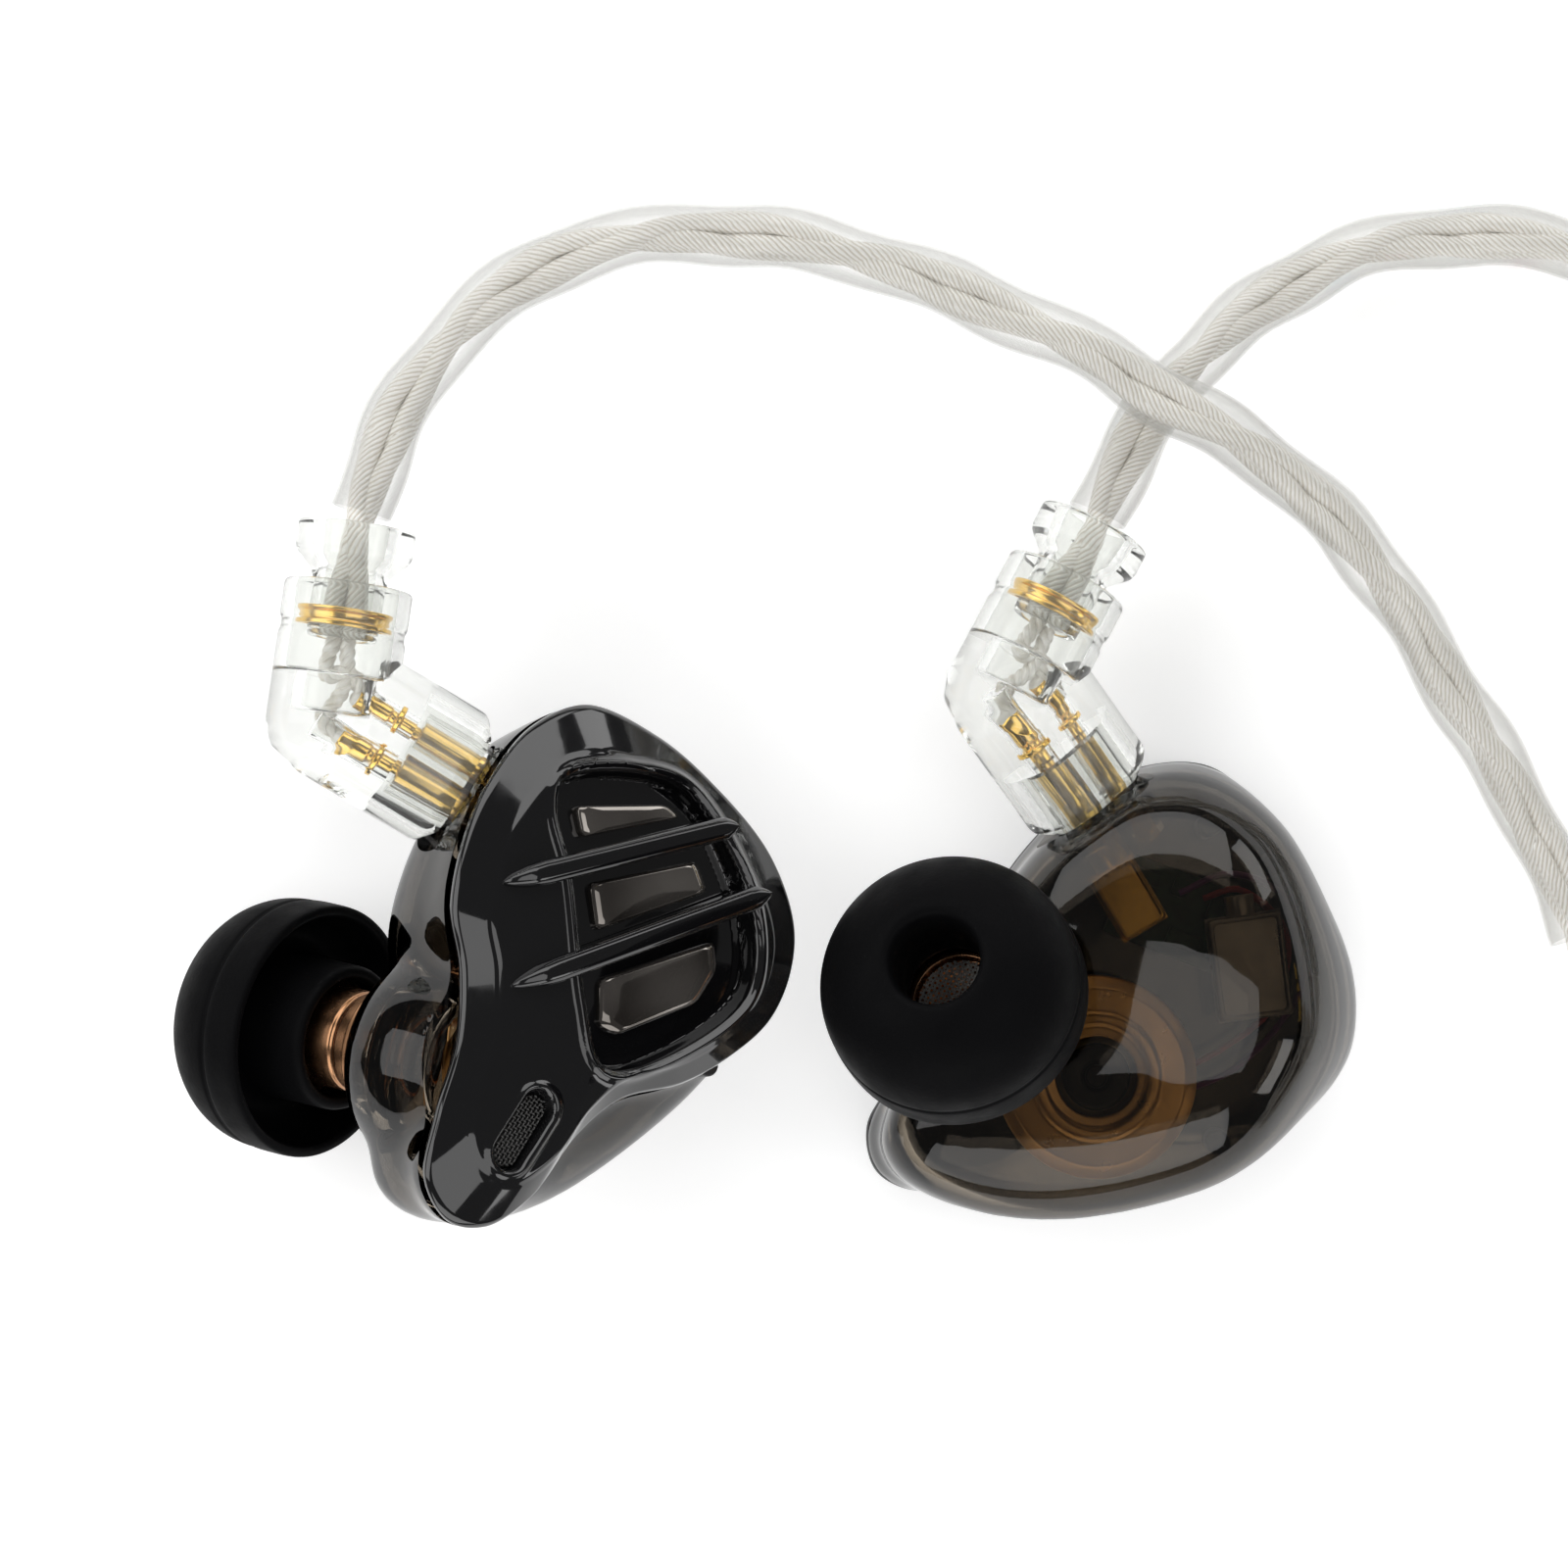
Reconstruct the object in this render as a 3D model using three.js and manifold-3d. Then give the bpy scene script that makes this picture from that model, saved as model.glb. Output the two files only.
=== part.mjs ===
// A pair of in-ear monitors with their detachable braided cable, laid flat on a table.
// Millimetres, +Z up, the table at z = 0, the pair (without its cable) centred on x = y = 0.
//
// Each earpiece is modelled once in its own frame: u across the faceplate, v up it, and w out of it,
// away from the ear. The right earpiece is the mirror image of the left one in w.

import * as THREE from "three";
import { mergeVertices } from "three/addons/utils/BufferGeometryUtils.js";
import Module from "manifold-3d";

const wasm = await Module();
wasm.setup();

// ---- Driving dimensions ----

const GAP = 0.3; // between pieces that touch
const TURN = 2 * Math.PI;

// How the two earpieces lie.
const LEFT_PLACE = new THREE.Vector3(-7.3, -3.9, 13.71);
const LEFT_FACES = new THREE.Vector3(0.55, 0.1, 0.83); // where the left faceplate looks
const RIGHT_SPIN = THREE.MathUtils.degToRad(-21);
const FIN_HEIGHT = 0.9; // the right earpiece stands on the fins of its faceplate
const RIGHT_PLACE = new THREE.Vector3(18.3, -6.3, FIN_HEIGHT);
const TO_MIDDLE = [-0.4, -0.2]; // moves everything so that the pair is centred on the origin

// Faceplate and shell: outlines counterclockwise as seen from the front.
const FACE_OUTLINE = [
  [-0.2, 11.9], [-3.2, 10.8], [-5.2, 8.8], [-6.9, 6.0], [-8.0, 2.0], [-7.6, -1.0], [-7.9, -4.4],
  [-9.1, -7.8], [-9.8, -10.9], [-8.6, -12.9], [-6.6, -13.2], [-4.2, -11.9], [-1.6, -9.0],
  [1.0, -7.2], [4.6, -6.4], [7.4, -5.1], [9.8, -3.3], [11.1, -1.0], [11.4, 1.5], [10.1, 4.9],
  [7.0, 8.2], [3.8, 10.5],
];
const SHELL_OUTLINE = [
  [0.1, 11.8], [-3.0, 10.8], [-5.0, 8.6], [-6.8, 5.3], [-7.7, 2.0], [-7.4, -1.6], [-8.0, -5.2],
  [-9.0, -8.9], [-8.9, -11.1], [-7.6, -12.4], [-5.5, -12.9], [-2.6, -12.8], [0.4, -12.0],
  [3.3, -10.6], [6.0, -8.8], [8.2, -6.9], [9.8, -4.4], [10.7, -0.4], [10.6, 2.2], [8.7, 6.1],
  [5.9, 9.5], [3.8, 11.0],
];
const BEAN_CENTRE = [0.9, -1.6];
const BEAN_STEPS = 32; // corners round each bean-shaped outline
const PLATE_BACK = -1.7;
const SHELL_FRONT = PLATE_BACK - GAP;
const SHELL_DEPTH = 11.0;
const WALL = 1.1;

// Window, fins and vent of the faceplate.
const WINDOW_OUTLINE = [
  [-2.6, 6.6], [-2.0, 3.8], [-1.4, -2.6], [-0.7, -5.4], [0.8, -5.8], [6.3, -3.5], [8.1, -1.7],
  [8.4, 1.5], [6.4, 6.3], [4.3, 8.2], [-2.1, 8.1],
];
const WINDOW_DEPTH = 1.1;
const PANES = [
  [[-1.3, 6.9], [-1.0, 5.4], [4.7, 6.5], [3.9, 7.1]],
  [[-0.6, 3.2], [-0.3, 0.9], [6.1, 2.9], [5.5, 4.4]],
  [[-0.2, -1.4], [-0.3, -3.6], [0.7, -4.1], [5.3, -2.5], [6.5, -0.9], [6.4, 0.5]],
];
const FINS = [
  { from: [-5.1, 3.2], to: [7.1, 6.05] },
  { from: [-4.8, -1.65], to: [8.9, 2.8] },
];
const FIN_WIDTH = 1.2;
const FIN_FOOT = -0.6; // the fins bridge the window's recess
const VENT = { centre: [-5.0, -8.7], length: 4.3, width: 1.7, turn: THREE.MathUtils.degToRad(53.5) };

// Nozzle and tip, measured along the nozzle's axis from the end of the shell's snout.
const NOZZLE_BASE = new THREE.Vector3(-6.5, -4.4, -9.0);
const NOZZLE_AXIS = new THREE.Vector3(-0.326, 0.236, -0.916).normalize();
const NOZZLE = { radius: 2.5, lip: 2.8, bore: 1.9, length: 5.2, spigot: 2.2 };
const TIP = { radius: 6.25, back: 5.2, length: 6.6, stemBore: 2.95, stem: 3.6, hole: 2.2, wall: 0.5 };

// Two-pin connector, measured outwards from the middle of its hood's end.
const HOOD_END = new THREE.Vector3(-5.1, 8.2, -4.7);
const OUT = new THREE.Vector3(-0.82, 0.53, -0.3).normalize();
const UP = new THREE.Vector3(0.12, 0.985, 0.12).normalize();
const HOOD = { width: 7.1, depth: 5.2, deep: 3.6, elbow: 7.4, heel: 1.9 };
const BOSS = { width: 4.5, depth: 3.1, inside: 3.0, outside: 3.3 };
const NECK = { radius: 3.1, height: 5.9, bore: 2.5, heel: 2.9 };
const COLLAR = { radius: 2.85, waist: 1.75, top: 8.8 };
const PIN = { radius: 0.38, pitch: 1.9, from: -1.8, to: 6.4 };

// Dynamic driver.
const DRIVER = { centre: [-0.4, -4.4, -7.7], radius: 4.9, height: 2.8, hub: 1.65 };

// Cable. The routes run from the collar to the coil.
const SLEEVE_DIAMETER = 3.0;
const BRANCH_DIAMETER = 2.2;
const MAIN_DIAMETER = 2.6;
const LEFT_HOOK_ROUTE = [
  [-19.3, 17.1, 12.2], [-18.7, 19.0, 12.1], [-17.7, 21.5, 12.0], [-16.1, 24.1, 11.8],
  [-14.1, 26.5, 11.5], [-11.3, 28.6, 11.1], [-8.3, 30.0, 10.7], [-4.2, 30.7, 10.3],
  [0.1, 30.6, 10.1], [3.9, 29.9, 9.8],
  [7.3, 28.9, 9.6], [10.6, 27.5, 9.5], [13.6, 26.2, 9.5], [16.6, 24.7, 9.6], [19.4, 22.9, 9.5],
  [23.1, 20.9, 8.8], [26.1, 18.8, 7.8], [28.7, 16.4, 6.5], [30.9, 13.8, 5.3], [32.9, 10.9, 4.1],
  [34.7, 8.1, 3.2], [36.3, 5.6, 2.6], [38.0, 2.8, 2.2], [39.5, -0.1, 2.0], [40.9, -3.5, 1.9],
];
const LEFT_LEAD_ROUTE = [
  [41.0, -3.9, 1.9], [42.7, -8.4, 1.9], [44.7, -13.4, 1.9], [47.0, -18.6, 2.0], [49.4, -23.4, 2.4],
  [51.7, -27.4, 2.9],
];
const RIGHT_HOOK_ROUTE = [
  [16.5, 17.2, 6.7], [17.5, 19.2, 6.5], [18.7, 21.4, 6.2], [20.2, 23.6, 5.8], [22.0, 25.5, 5.2],
  [23.8, 27.1, 4.5], [26.1, 28.7, 3.7], [29.1, 30.3, 2.7], [32.6, 31.2, 2.1], [36.2, 31.4, 1.7],
  [40.0, 30.9, 1.6], [43.8, 29.3, 1.6], [47.2, 26.4, 1.6], [49.7, 22.4, 1.6], [51.1, 17.6, 1.6],
  [51.6, 12.0, 1.6], [51.5, 6.0, 1.6], [51.3, 0.0, 1.6], [51.2, -6.0, 1.6], [51.2, -12.5, 1.6],
];
const RIGHT_LEAD_ROUTE = [[51.2, -13.0, 1.6], [51.2, -17.0, 1.4], [51.2, -21.0, 1.2]];

// The stored coil: both branches wound side by side, the main cable wound on top of them.
const COIL = new THREE.Vector3(74, -26, 0);
const COIL_BORE = 12.0;
const BRANCH_COIL = { radius: 21.2, from: 0, to: 4.3 };
const MAIN_COIL = { radius: 22.4, from: 4.6, to: 9.6 };
const SPLITTER = { x: 5.5, y: 7.2, z: 2.8, radius: 2.6 };
const RIGHT_TAIL_ROUTE = [[8.9, 5.5, 1.7], [7.5, 6.9, 1.7], [5.8, 7.3, 1.7]];
const LEFT_TAIL_ROUTE = [[8.7, 5.2, 3.9], [7.4, 6.7, 3.9], [5.8, 7.2, 3.9]];
const MAIN_LEAD_ROUTE = [[-6.0, 7.1, 2.9], [-7.3, 6.6, 3.2], [-8.6, 5.7, 3.8]];
const MAIN_TAIL_ROUTE = [
  [-3.4, -14.2, 11.15], [-0.2, -14.1, 11.7], [3.2, -12.9, 12.3], [6.2, -10.2, 12.8], [7.8, -6.8, 12.8],
  [8.0, -4.4, 12.8],
];
const PLUG = new THREE.Vector3(8, -4, 12.8);
const TIE = { turn: THREE.MathUtils.degToRad(-45), width: 5, thick: 0.7, inner: 11.6, outer: 22.8 };

// ---- Finishes ----

function finish(color, roughness, metalness = 0, opacity = 1) {
  return { color, roughness, metalness, opacity, transparent: opacity < 1 };
}

const FINISH = {
  gloss_black: finish(0x08080a, 0.08),
  window_black: finish(0x2b2624, 0.05),
  smoke: finish(0x4a443d, 0.05, 0, 0.55),
  bronze: finish(0x8a5a38, 0.25, 1),
  steel: finish(0x9a9a9c, 0.35, 1),
  gold: finish(0xd9a83c, 0.22, 1),
  silicone: finish(0x101011, 0.6),
  clear: finish(0xf0efe9, 0.06, 0, 0.3),
  copper: finish(0xb87a45, 0.3, 1),
  dark_metal: finish(0x2a2a2c, 0.4, 1),
  film: finish(0xc9b58a, 0.4),
  board: finish(0x12301f, 0.5),
  silver_braid: finish(0xd6d2c8, 0.35, 0.6),
  black_plastic: finish(0x151516, 0.45),
};

function piece(name, geometry, look) {
  const mesh = new THREE.Mesh(geometry, new THREE.MeshStandardMaterial(FINISH[look]));
  mesh.name = name;
  return mesh;
}

// ---- Joining and cutting ----

function solidOf(geometry) {
  const bare = geometry.clone();
  bare.deleteAttribute("normal");
  bare.deleteAttribute("uv");
  const merged = mergeVertices(bare, 1e-4);
  const corners = merged.index.array;
  const triangles = [];
  for (let i = 0; i < corners.length; i += 3) {
    const [a, b, c] = corners.slice(i, i + 3);
    if (a !== b && b !== c && c !== a) triangles.push(a, b, c);
  }
  return new wasm.Manifold(
    new wasm.Mesh({
      numProp: 3,
      vertProperties: merged.attributes.position.array,
      triVerts: new Uint32Array(triangles),
    }),
  );
}

function geometryOf(solid) {
  const mesh = solid.getMesh();
  const geometry = new THREE.BufferGeometry();
  geometry.setAttribute("position", new THREE.BufferAttribute(mesh.vertProperties, 3));
  geometry.setIndex(new THREE.BufferAttribute(mesh.triVerts, 1));
  geometry.computeVertexNormals();
  return geometry;
}

function join(first, ...others) {
  return geometryOf(others.reduce((sum, other) => sum.add(solidOf(other)), solidOf(first)));
}

function cut(body, ...tools) {
  return geometryOf(tools.reduce((rest, tool) => rest.subtract(solidOf(tool)), solidOf(body)));
}

// ---- Shapes ----

function outlineCurve(points) {
  const corners = points.map(([u, v]) => new THREE.Vector3(u, v, 0));
  return new THREE.CatmullRomCurve3(corners, true, "centripetal");
}

const FACE_CURVE = outlineCurve(FACE_OUTLINE);
const SHELL_CURVE = outlineCurve(SHELL_OUTLINE);

/**
 * A solid of revolution stretched to the bean outline. A profile row, from back to front, is
 * [scale, w, blend]: blend goes from the faceplate's outline (0) to the shell's fuller one (1).
 */
function bean(profile) {
  const rows = profile.map(([scale, w]) => new THREE.Vector2(scale, w));
  const geometry = new THREE.LatheGeometry(rows, BEAN_STEPS);
  const at = geometry.attributes.position;
  for (let i = 0; i < at.count; i += 1) {
    const [scale, w, blend = 0] = profile[i % profile.length];
    const turn = Math.floor(i / profile.length) / BEAN_STEPS;
    const rim = FACE_CURVE.getPointAt(turn % 1).lerp(SHELL_CURVE.getPointAt(turn % 1), blend);
    const u = BEAN_CENTRE[0] + scale * (rim.x - BEAN_CENTRE[0]);
    const v = BEAN_CENTRE[1] + scale * (rim.y - BEAN_CENTRE[1]);
    at.setXYZ(i, u, v, w);
  }
  return geometry;
}

/** A flat plate of an outline, from one height to another. */
function plate(points, from, to) {
  const shape = new THREE.Shape(points.map(([u, v]) => new THREE.Vector2(u, v)));
  const geometry = new THREE.ExtrudeGeometry(shape, { depth: to - from, bevelEnabled: false });
  return geometry.translate(0, 0, from);
}

/** An outline moved inwards, towards its own middle. */
function inset(points, distance) {
  const middle = points.reduce((sum, [u, v]) => [sum[0] + u, sum[1] + v], [0, 0]);
  const centre = middle.map((total) => total / points.length);
  return points.map(([u, v]) => {
    const reach = Math.hypot(u - centre[0], v - centre[1]);
    const share = (reach - distance) / reach;
    return [centre[0] + share * (u - centre[0]), centre[1] + share * (v - centre[1])];
  });
}

/** A slot-shaped bar along +Z: straight sides and round ends. */
function oval(width, depth, length, curveSegments = 6) {
  const r = depth / 2;
  const half = width / 2 - r;
  const shape = new THREE.Shape();
  shape.absarc(half, 0, r, -Math.PI / 2, Math.PI / 2);
  shape.absarc(-half, 0, r, Math.PI / 2, (3 * Math.PI) / 2);
  return new THREE.ExtrudeGeometry(shape, { depth: length, bevelEnabled: false, curveSegments });
}

/** A turned piece about +Z. A profile row is [radius, z]; it starts and ends on the axis or closes. */
function turned(profile, segments = 16) {
  const rows = profile.map(([r, z]) => new THREE.Vector2(r, z));
  return new THREE.LatheGeometry(rows, segments).rotateX(Math.PI / 2);
}

/** A turned tube or ring about +Z between two heights. */
function ring(inner, outer, from, to, segments = 16) {
  return turned([[inner, from], [outer, from], [outer, to], [inner, to], [inner, from]], segments);
}

function rod(radius, from, to, segments = 16) {
  return turned([[0, from], [radius, from], [radius, to], [0, to]], segments);
}

/** Moves a shape made about +Z so that +Z points along a direction and +X lies near another. */
function aim(geometry, origin, direction, near = new THREE.Vector3(0, 1, 0)) {
  const z = direction.clone().normalize();
  const x = near.clone().addScaledVector(z, -near.dot(z)).normalize();
  const y = z.clone().cross(x);
  const place = new THREE.Matrix4().makeBasis(x, y, z).setPosition(origin);
  return geometry.applyMatrix4(place);
}

function tube(route, diameter, spacing = 2) {
  const path = new THREE.CatmullRomCurve3(route.map((p) => new THREE.Vector3(...p)), false);
  const sides = 8;
  const section = new THREE.Shape();
  for (let i = 0; i < sides; i += 1) {
    const angle = (i / sides) * TURN;
    const corner = [(diameter / 2) * Math.cos(angle), (diameter / 2) * Math.sin(angle)];
    if (i === 0) section.moveTo(...corner);
    else section.lineTo(...corner);
  }
  const steps = Math.max(2, Math.round(path.getLength() / (spacing * diameter)));
  return new THREE.ExtrudeGeometry(section, { steps, extrudePath: path });
}

// ---- Earpiece ----

function fin({ from, to }) {
  const way = new THREE.Vector2(to[0] - from[0], to[1] - from[1]);
  const length = way.length();
  const half = FIN_WIDTH / 2;
  const shape = [
    [0, 0], [length * 0.3, -half], [length - half, -half], [length, 0],
    [length - half, half], [length * 0.3, half],
  ];
  return plate(shape, FIN_FOOT, FIN_HEIGHT)
    .rotateZ(way.angle())
    .translate(from[0], from[1], 0);
}

function ventPill(grow, from, to) {
  return oval(VENT.length + 2 * grow, VENT.width + 2 * grow, to - from)
    .rotateZ(VENT.turn)
    .translate(VENT.centre[0], VENT.centre[1], from);
}

function facePieces(name) {
  const slab = bean([
    [0, PLATE_BACK], [0.97, PLATE_BACK], [1, PLATE_BACK + 0.3], [1, -0.9], [0.9, -0.1], [0.8, 0],
    [0, 0],
  ]);
  const recess = plate(WINDOW_OUTLINE, -WINDOW_DEPTH, 1);
  const carved = cut(slab, recess, ventPill(0, -0.7, 1));
  const faceplate = join(carved, ...FINS.map(fin));

  const bed = -WINDOW_DEPTH + 0.05;
  const floor = plate(inset(WINDOW_OUTLINE, 0.35), bed, bed + 0.3);
  const panes = PANES.map((outline) => plate(outline, bed + 0.15, -0.25));
  const window = join(floor, ...panes);
  return [
    piece(`${name}_faceplate`, faceplate, "gloss_black"),
    piece(`${name}_face_window`, window, "window_black"),
    piece(`${name}_vent_mesh`, ventPill(-0.15, -0.65, -0.35), "steel"),
  ];
}

/** The shell's outer or inner skin: a bean with a snout that reaches to the nozzle. */
function skin(thinner) {
  const share = 1 - thinner / 10;
  const depth = SHELL_DEPTH - thinner;
  const front = thinner > 0 ? 1 : SHELL_FRONT;
  const body = bean([
    [0, -depth, 1], [0.5 * share, -depth + 0.2, 1], [0.8 * share, -depth + 1.1, 1],
    [0.94 * share, -depth + 2.4, 1], [share, -depth + 4.6, 1], [1.01 * share, -4, 0.6],
    [share, Math.min(front, SHELL_FRONT), 0], ...(thinner > 0 ? [[share, front, 0]] : []),
    [0, front, 0],
  ]);
  const foot = thinner > 0 ? 4.8 : 5.9;
  const mouth = thinner > 0 ? 2.6 : 3.7;
  const snout = turned([
    [0, -6.5], [foot, -6.5], [foot * 0.97, -4.2], [(foot + mouth) / 2, -1.8], [mouth, -thinner],
    [0, -thinner],
  ]);
  return join(body, aim(snout, NOZZLE_BASE, NOZZLE_AXIS));
}

function shell(name) {
  const open = plate(
    [[-14, -18], [16, -18], [16, 18], [-14, 18]], SHELL_FRONT, 4,
  );
  const socketHole = aim(
    oval(BOSS.width + 2 * GAP, BOSS.depth + 2 * GAP, 8), along(-6), OUT, pinSide(),
  );
  const hoodSeat = aim(
    oval(HOOD.width + 2 * GAP, HOOD.depth + 2 * GAP, 8), along(-GAP), OUT, pinSide(),
  );
  const nozzleHole = aim(rod(NOZZLE.spigot + GAP, -4, 1), NOZZLE_BASE, NOZZLE_AXIS);
  const nozzleSeat = aim(rod(NOZZLE.radius + 1, 0, 4), NOZZLE_BASE, NOZZLE_AXIS);
  const hollow = cut(skin(0), skin(WALL), open, socketHole, hoodSeat, nozzleHole, nozzleSeat);
  return piece(`${name}_shell`, hollow, "smoke");
}

function nozzlePieces(name) {
  const { radius, lip, bore, length, spigot } = NOZZLE;
  const tubeProfile = [
    [bore, -1.5], [spigot, -1.5], [spigot, GAP], [radius + 0.7, GAP], [radius + 0.7, 0.9],
    [radius, 0.9], [radius, length - 1.2], [lip, length - 0.8], [lip, length - 0.3],
    [radius, length], [bore + 0.3, length], [bore + 0.3, length - 0.6], [bore, length - 0.6],
    [bore, -1.5],
  ];
  const screen = rod(bore + 0.05, length - 0.45, length - 0.2);
  return [
    piece(`${name}_nozzle`, aim(turned(tubeProfile), NOZZLE_BASE, NOZZLE_AXIS), "bronze"),
    piece(`${name}_nozzle_screen`, aim(screen, NOZZLE_BASE, NOZZLE_AXIS), "steel"),
  ];
}

function earTip(name) {
  const { radius, back, length, stemBore, stem, hole, wall } = TIP;
  const profile = [
    [stemBore, -3.6], [stem, -3.6], [stem, 2.6], [radius - wall - 0.6, 2.2], [radius - wall, 0.6],
    [radius - wall, -back + 5.2], [radius, -back + 5.2], [radius, 2.4], [radius * 0.96, 3.4],
    [radius * 0.86, 4.7], [radius * 0.68, 5.8], [hole + 0.9, length - 0.1], [hole, length - 0.3],
    [hole, 1.2], [stemBore, 1.0], [stemBore, -3.6],
  ];
  const tip = aim(
    turned(profile, 24).translate(0, 0, back), NOZZLE_BASE, NOZZLE_AXIS,
  );
  return piece(`${name}_ear_tip`, tip, "silicone");
}

function driverPieces(name) {
  const { centre, radius, height, hub } = DRIVER;
  const cup = turned([
    [hub + GAP, 0], [radius - 0.6, 0], [radius, 0.5], [radius, height], [radius - 0.5, height],
    [radius - 0.5, 0.7], [hub + GAP, 0.6], [hub + GAP, 0],
  ]);
  const magnet = rod(hub, -0.1, 1.3, 16);
  const diaphragm = turned([
    [0, 1.9], [1.8, 1.9], [2.6, 1.6], [radius - 0.8, 2.1], [radius - 0.8, 2.3], [2.6, 1.8],
    [1.8, 2.1], [0, 2.3],
  ]);
  return [
    piece(`${name}_driver_cup`, cup.translate(...centre), "copper"),
    piece(`${name}_driver_magnet`, magnet.translate(...centre), "dark_metal"),
    piece(`${name}_driver_diaphragm`, diaphragm.translate(...centre), "film"),
  ];
}

function canOf(width, length, height) {
  const body = new THREE.BoxGeometry(width, length, height);
  const spout = rod(0.7, 0, 1.1, 12).rotateX(-Math.PI / 2).translate(0, length / 2 - 0.1, 0);
  return join(body, spout);
}

function electronicPieces(name) {
  const bass = canOf(3.4, 5.0, 2.4).rotateZ(0.5).translate(4.6, 3.2, -6.4);
  const treble = canOf(2.4, 3.4, 1.8).rotateZ(0.9).translate(-2.0, 4.2, -6.8);
  const board = new THREE.BoxGeometry(6.4, 4.2, 0.6).translate(0.8, 4.4, -3.6);
  return [
    piece(`${name}_armature_bass`, bass, "steel"),
    piece(`${name}_armature_treble`, treble, "gold"),
    piece(`${name}_crossover_board`, board, "board"),
  ];
}

// ---- Connector ----

function along(distance) {
  return HOOD_END.clone().addScaledVector(OUT, distance);
}

/** The direction in which the two pins stand apart: across the hood, in the plane of the elbow. */
function pinSide() {
  return UP.clone().addScaledVector(OUT, -UP.dot(OUT)).normalize();
}

function pinOrigin(sign) {
  return HOOD_END.clone().addScaledVector(pinSide(), (sign * PIN.pitch) / 2);
}

function socketPieces(name) {
  const length = BOSS.inside + BOSS.outside;
  const block = aim(oval(BOSS.width, BOSS.depth, length), along(-BOSS.inside), OUT, pinSide());
  const holes = [-1, 1].map((sign) => aim(rod(0.82, -4, 4, 10), pinOrigin(sign), OUT));
  const contacts = [-1, 1].map((sign, i) =>
    piece(
      `${name}_socket_contact_${"ab"[i]}`,
      aim(ring(0.45, 0.72, -BOSS.inside, BOSS.outside - 0.1, 10), pinOrigin(sign), OUT),
      "gold",
    ),
  );
  return [piece(`${name}_socket_boss`, cut(block, ...holes), "clear"), ...contacts];
}

function connectorPieces(name) {
  const elbow = along(HOOD.elbow);
  const hood = aim(oval(HOOD.width, HOOD.depth, HOOD.elbow + HOOD.heel), along(0), OUT, pinSide());
  const neck = aim(rod(NECK.radius, -NECK.heel, NECK.height, 18), elbow, UP, OUT);
  const hollow = aim(
    oval(BOSS.width + 2 * GAP, BOSS.depth + 2 * GAP, HOOD.deep + 1), along(-1), OUT, pinSide(),
  );
  const pinHoles = [-1, 1].map((sign) => aim(rod(0.62, 0, 7.6, 10), pinOrigin(sign), OUT));
  const bore = aim(rod(NECK.bore, 1.4, NECK.height + 1, 16), elbow, UP, OUT);
  const throat = aim(rod(1.5, -0.4, 3, 12), elbow, UP, OUT);
  const housing = cut(join(hood, neck), hollow, ...pinHoles, bore, throat);

  const pins = [-1, 1].map((sign, i) => {
    const { radius, from, to } = PIN;
    const profile = [
      [0, from], [radius * 0.6, from], [radius, from + 0.5], [radius, to - 1.5],
      [radius + 0.14, to - 1.4], [radius + 0.14, to], [0, to],
    ];
    const pin = aim(turned(profile, 10), pinOrigin(sign), OUT);
    return piece(`${name}_connector_pin_${"ab"[i]}`, pin, "gold");
  });
  const ferrule = aim(ring(1.95, 2.3, 3.6, 5.0), elbow, UP, OUT);
  const { radius, waist, top } = COLLAR;
  const collar = aim(
    turned([
      [1.25, 3.2], [1.7, 3.2], [waist, 5.9], [waist + 0.2, 6.5], [radius, 7.5], [radius, top],
      [1.6, top], [1.6, top - 1.2], [1.25, top - 1.4], [1.25, 3.2],
    ]),
    elbow, UP, OUT,
  );
  return [
    piece(`${name}_connector_housing`, housing, "clear"),
    ...pins,
    piece(`${name}_connector_ferrule`, ferrule, "gold"),
    piece(`${name}_cable_collar`, collar, "clear"),
  ];
}

function earpiece(name) {
  const group = new THREE.Group();
  group.add(
    ...facePieces(name),
    shell(name),
    ...nozzlePieces(name),
    earTip(name),
    ...driverPieces(name),
    ...electronicPieces(name),
    ...socketPieces(name),
    ...connectorPieces(name),
  );
  return group;
}

// ---- Cable ----

function inCoil(route) {
  return route.map(([x, y, z]) => [COIL.x + x, COIL.y + y, COIL.z + z]);
}

function onCoil(geometry) {
  return geometry.translate(...COIL);
}

/** The tie runs round the bundle of turns; grow widens it to the notch that the turns leave. */
function tieLoop(grow) {
  const { turn, width, thick, inner, outer } = TIE;
  const top = MAIN_COIL.to + GAP;
  const loop = new THREE.Shape();
  loop.moveTo(inner - thick - grow, -grow);
  loop.lineTo(outer + thick + grow, -grow);
  loop.lineTo(outer + thick + grow, top + thick + grow);
  loop.lineTo(inner - thick - grow, top + thick + grow);
  const hole = new THREE.Path();
  hole.moveTo(inner + grow, thick + grow);
  hole.lineTo(inner + grow, top - grow);
  hole.lineTo(outer - grow, top - grow);
  hole.lineTo(outer - grow, thick + grow);
  loop.holes.push(hole);
  const wide = width + 2 * grow;
  const geometry = new THREE.ExtrudeGeometry(loop, { depth: wide, bevelEnabled: false });
  return geometry.translate(0, 0, -wide / 2).rotateX(Math.PI / 2).rotateZ(turn);
}

function coilRing({ radius, from, to }) {
  const round = 0.8;
  return turned([
    [COIL_BORE, from + round], [COIL_BORE + round, from], [radius - round, from],
    [radius, from + round], [radius, to - round], [radius - round, to], [COIL_BORE + round, to],
    [COIL_BORE, to - round], [COIL_BORE, from + round],
  ], 28);
}

function splitter() {
  const { x, y, z, radius } = SPLITTER;
  const body = turned([
    [0, 0], [radius - 0.4, 0], [radius, 0.8], [radius, 2 * x - 2.6], [1.8, 2 * x], [0, 2 * x],
  ]);
  return onCoil(aim(body, new THREE.Vector3(x, y, z), new THREE.Vector3(-1, 0, 0)));
}

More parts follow.
